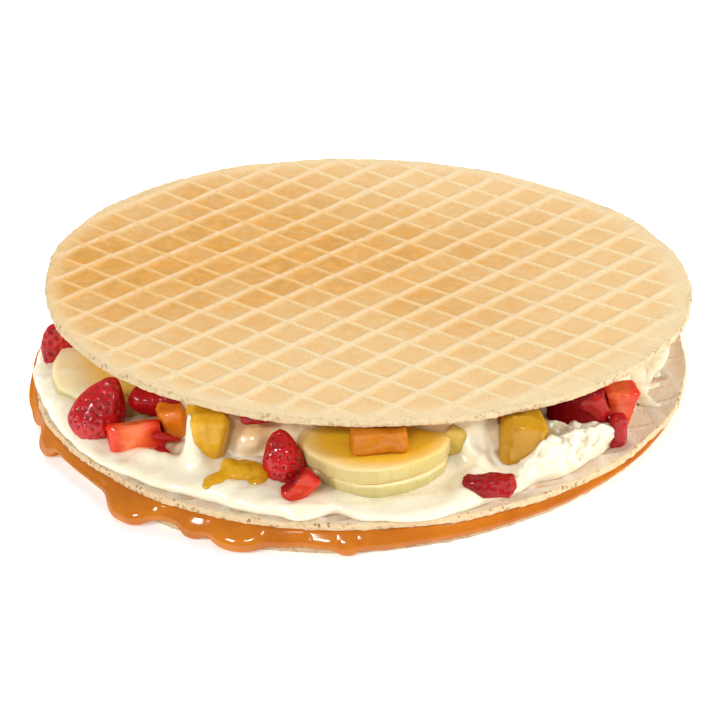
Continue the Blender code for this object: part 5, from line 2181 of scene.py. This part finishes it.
@dataclass(frozen=True)
class Softbox:
    """A lamp that looks at the middle of the part: large and soft, or small for the glints on wet food."""

    name: str
    place: Triple
    size: tuple[float, float]
    power: float
    mirrored: bool = False          # whether wet surfaces mirror it
    target: Triple = (0.0, 0.0, 0.01)

    def build(self) -> None:
        """Place the lamp."""
        data = bpy.data.lights.new(self.name, "AREA")
        data.shape = "RECTANGLE"
        data.size, data.size_y = self.size
        data.energy = self.power
        obj = linked(self.name, data)
        obj.visible_glossy = self.mirrored
        obj.location = self.place
        obj.rotation_mode = "QUATERNION"
        obj.rotation_quaternion = (Vector(self.target) - obj.location).to_track_quat("-Z", "Y")


@dataclass(frozen=True)
class Studio:
    """A plain pale floor and soft light."""

    white: Colour = (1.0, 1.0, 1.0)
    floor_side: float = 6.0
    floor_colour: Colour = (0.93, 0.93, 0.93)
    floor_glow: float = 0.35
    ambient: float = 0.30
    lamps: tuple[Softbox, ...] = (
        Softbox("back_light", (-0.2, 0.8, 0.85), (0.7, 0.45), 8.2),
        Softbox("front_light", (-0.95, -0.85, 0.75), (0.28, 0.18), 8.4, mirrored=True),
        Softbox("key_light", (-0.3, -0.95, 0.8), (0.22, 0.05), 2.8, mirrored=True),
        Softbox("right_light", (1.0, -0.2, 0.36), (0.4, 0.3), 9.0),
        Softbox("streak_light", (0.55, -0.9, 0.7), (0.2, 0.04), 1.2, mirrored=True),
    )

    def build(self) -> None:
        """Build the floor, the ambient light and the lamps."""
        bm = bmesh.new()
        bmesh.ops.create_grid(bm, x_segments=1, y_segments=1, size=0.5 * self.floor_side)
        bmesh.ops.translate(bm, verts=bm.verts[:], vec=(0.0, 0.0, -0.05 * MM))
        mesh = mesh_from(bm, "floor")
        material = bpy.data.materials.new("floor_pale")
        material.use_nodes = True
        Wiring(material.node_tree).fill(material.node_tree.nodes["Principled BSDF"], {
            "Base Color": self.floor_colour,
            "Roughness": 0.9,
            "Specular IOR Level": 0.1,
            "Emission Color": self.white,
            "Emission Strength": self.floor_glow,
        })
        dress(mesh, material)
        linked("floor", mesh)
        world = bpy.data.worlds.new("studio")
        world.use_nodes = True
        background = world.node_tree.nodes["Background"]
        Wiring(world.node_tree).fill(background, {"Color": self.white, "Strength": self.ambient})
        bpy.context.scene.world = world
        bpy.context.scene.view_settings.view_transform = "Standard"
        for lamp in self.lamps:
            lamp.build()


def main() -> None:
    """Build the studio and every piece in order."""
    logging.basicConfig(level=logging.INFO, format="%(name)s %(message)s")
    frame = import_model()
    effects = Effects()
    Camera().build()
    Studio().build()
    fruit = Fruit(effects, frame["nodes"])
    cream = CreamFinish().material(effects)
    Wafer(
        "wafer_bottom", BOTTOM_LIE,
        Lattice(0.0, (0.0, 0.0), depth=0.05 * MM, pitch=18.0 * MM, detail=8),
        WaferFinish("wafer_bottom_baked", edge=(0.74, 0.57, 0.36)), 3, worn=True,
    ).build(effects)
    Caramel().build(effects)
    Wafer(
        "wafer_middle", MIDDLE_LIE, Lattice(14.0, (0.0, 3.0), depth=0.35 * MM, detail=8),
        WaferFinish(
            # the pale colours below are partly the middle wafer's own and partly painted light against the
            # shade of the top wafer
            "wafer_middle_baked", ridge=(1.0, 0.91, 0.77), ridge_warm=(1.0, 0.84, 0.66),
            cell=(1.0, 0.86, 0.70), cell_warm=(0.98, 0.74, 0.52), blush=(1.0, 0.90, 0.79),
            toast_and_shade=(0.80, 0.42, 0.16), edge=(0.94, 0.71, 0.40), pitted=0.85, rusty=0.5,
        ), 5, margin=2.6 * MM, front_margin=2.6 * MM,
    ).build(effects)
    Cream().build(cream, fruit.surface())
    Smears().build(cream)
    fruit.build()
    Wafer(
        "wafer_top", TOP_LIE, Lattice(-41.3, (1.5, -2.7), wide=0.76 * MM, detail=13),
        WaferFinish("wafer_top_baked"), 7, bend=TOP_BEND, plain_bake=0.12, front_margin=11.0 * MM,
        toasting=(
            Toasting((-4.0, 14.0), 32.0, 0.75), Toasting((-58.0, 4.0), 34.0, 0.95),
            Toasting((-30.0, 46.0), 26.0, 0.5), Toasting((20.0, -20.0), 20.0, 0.3),
            Toasting((34.0, 26.0), 22.0, 0.3),
        ),
    ).build(effects)


if __name__ == "__main__":
    main()
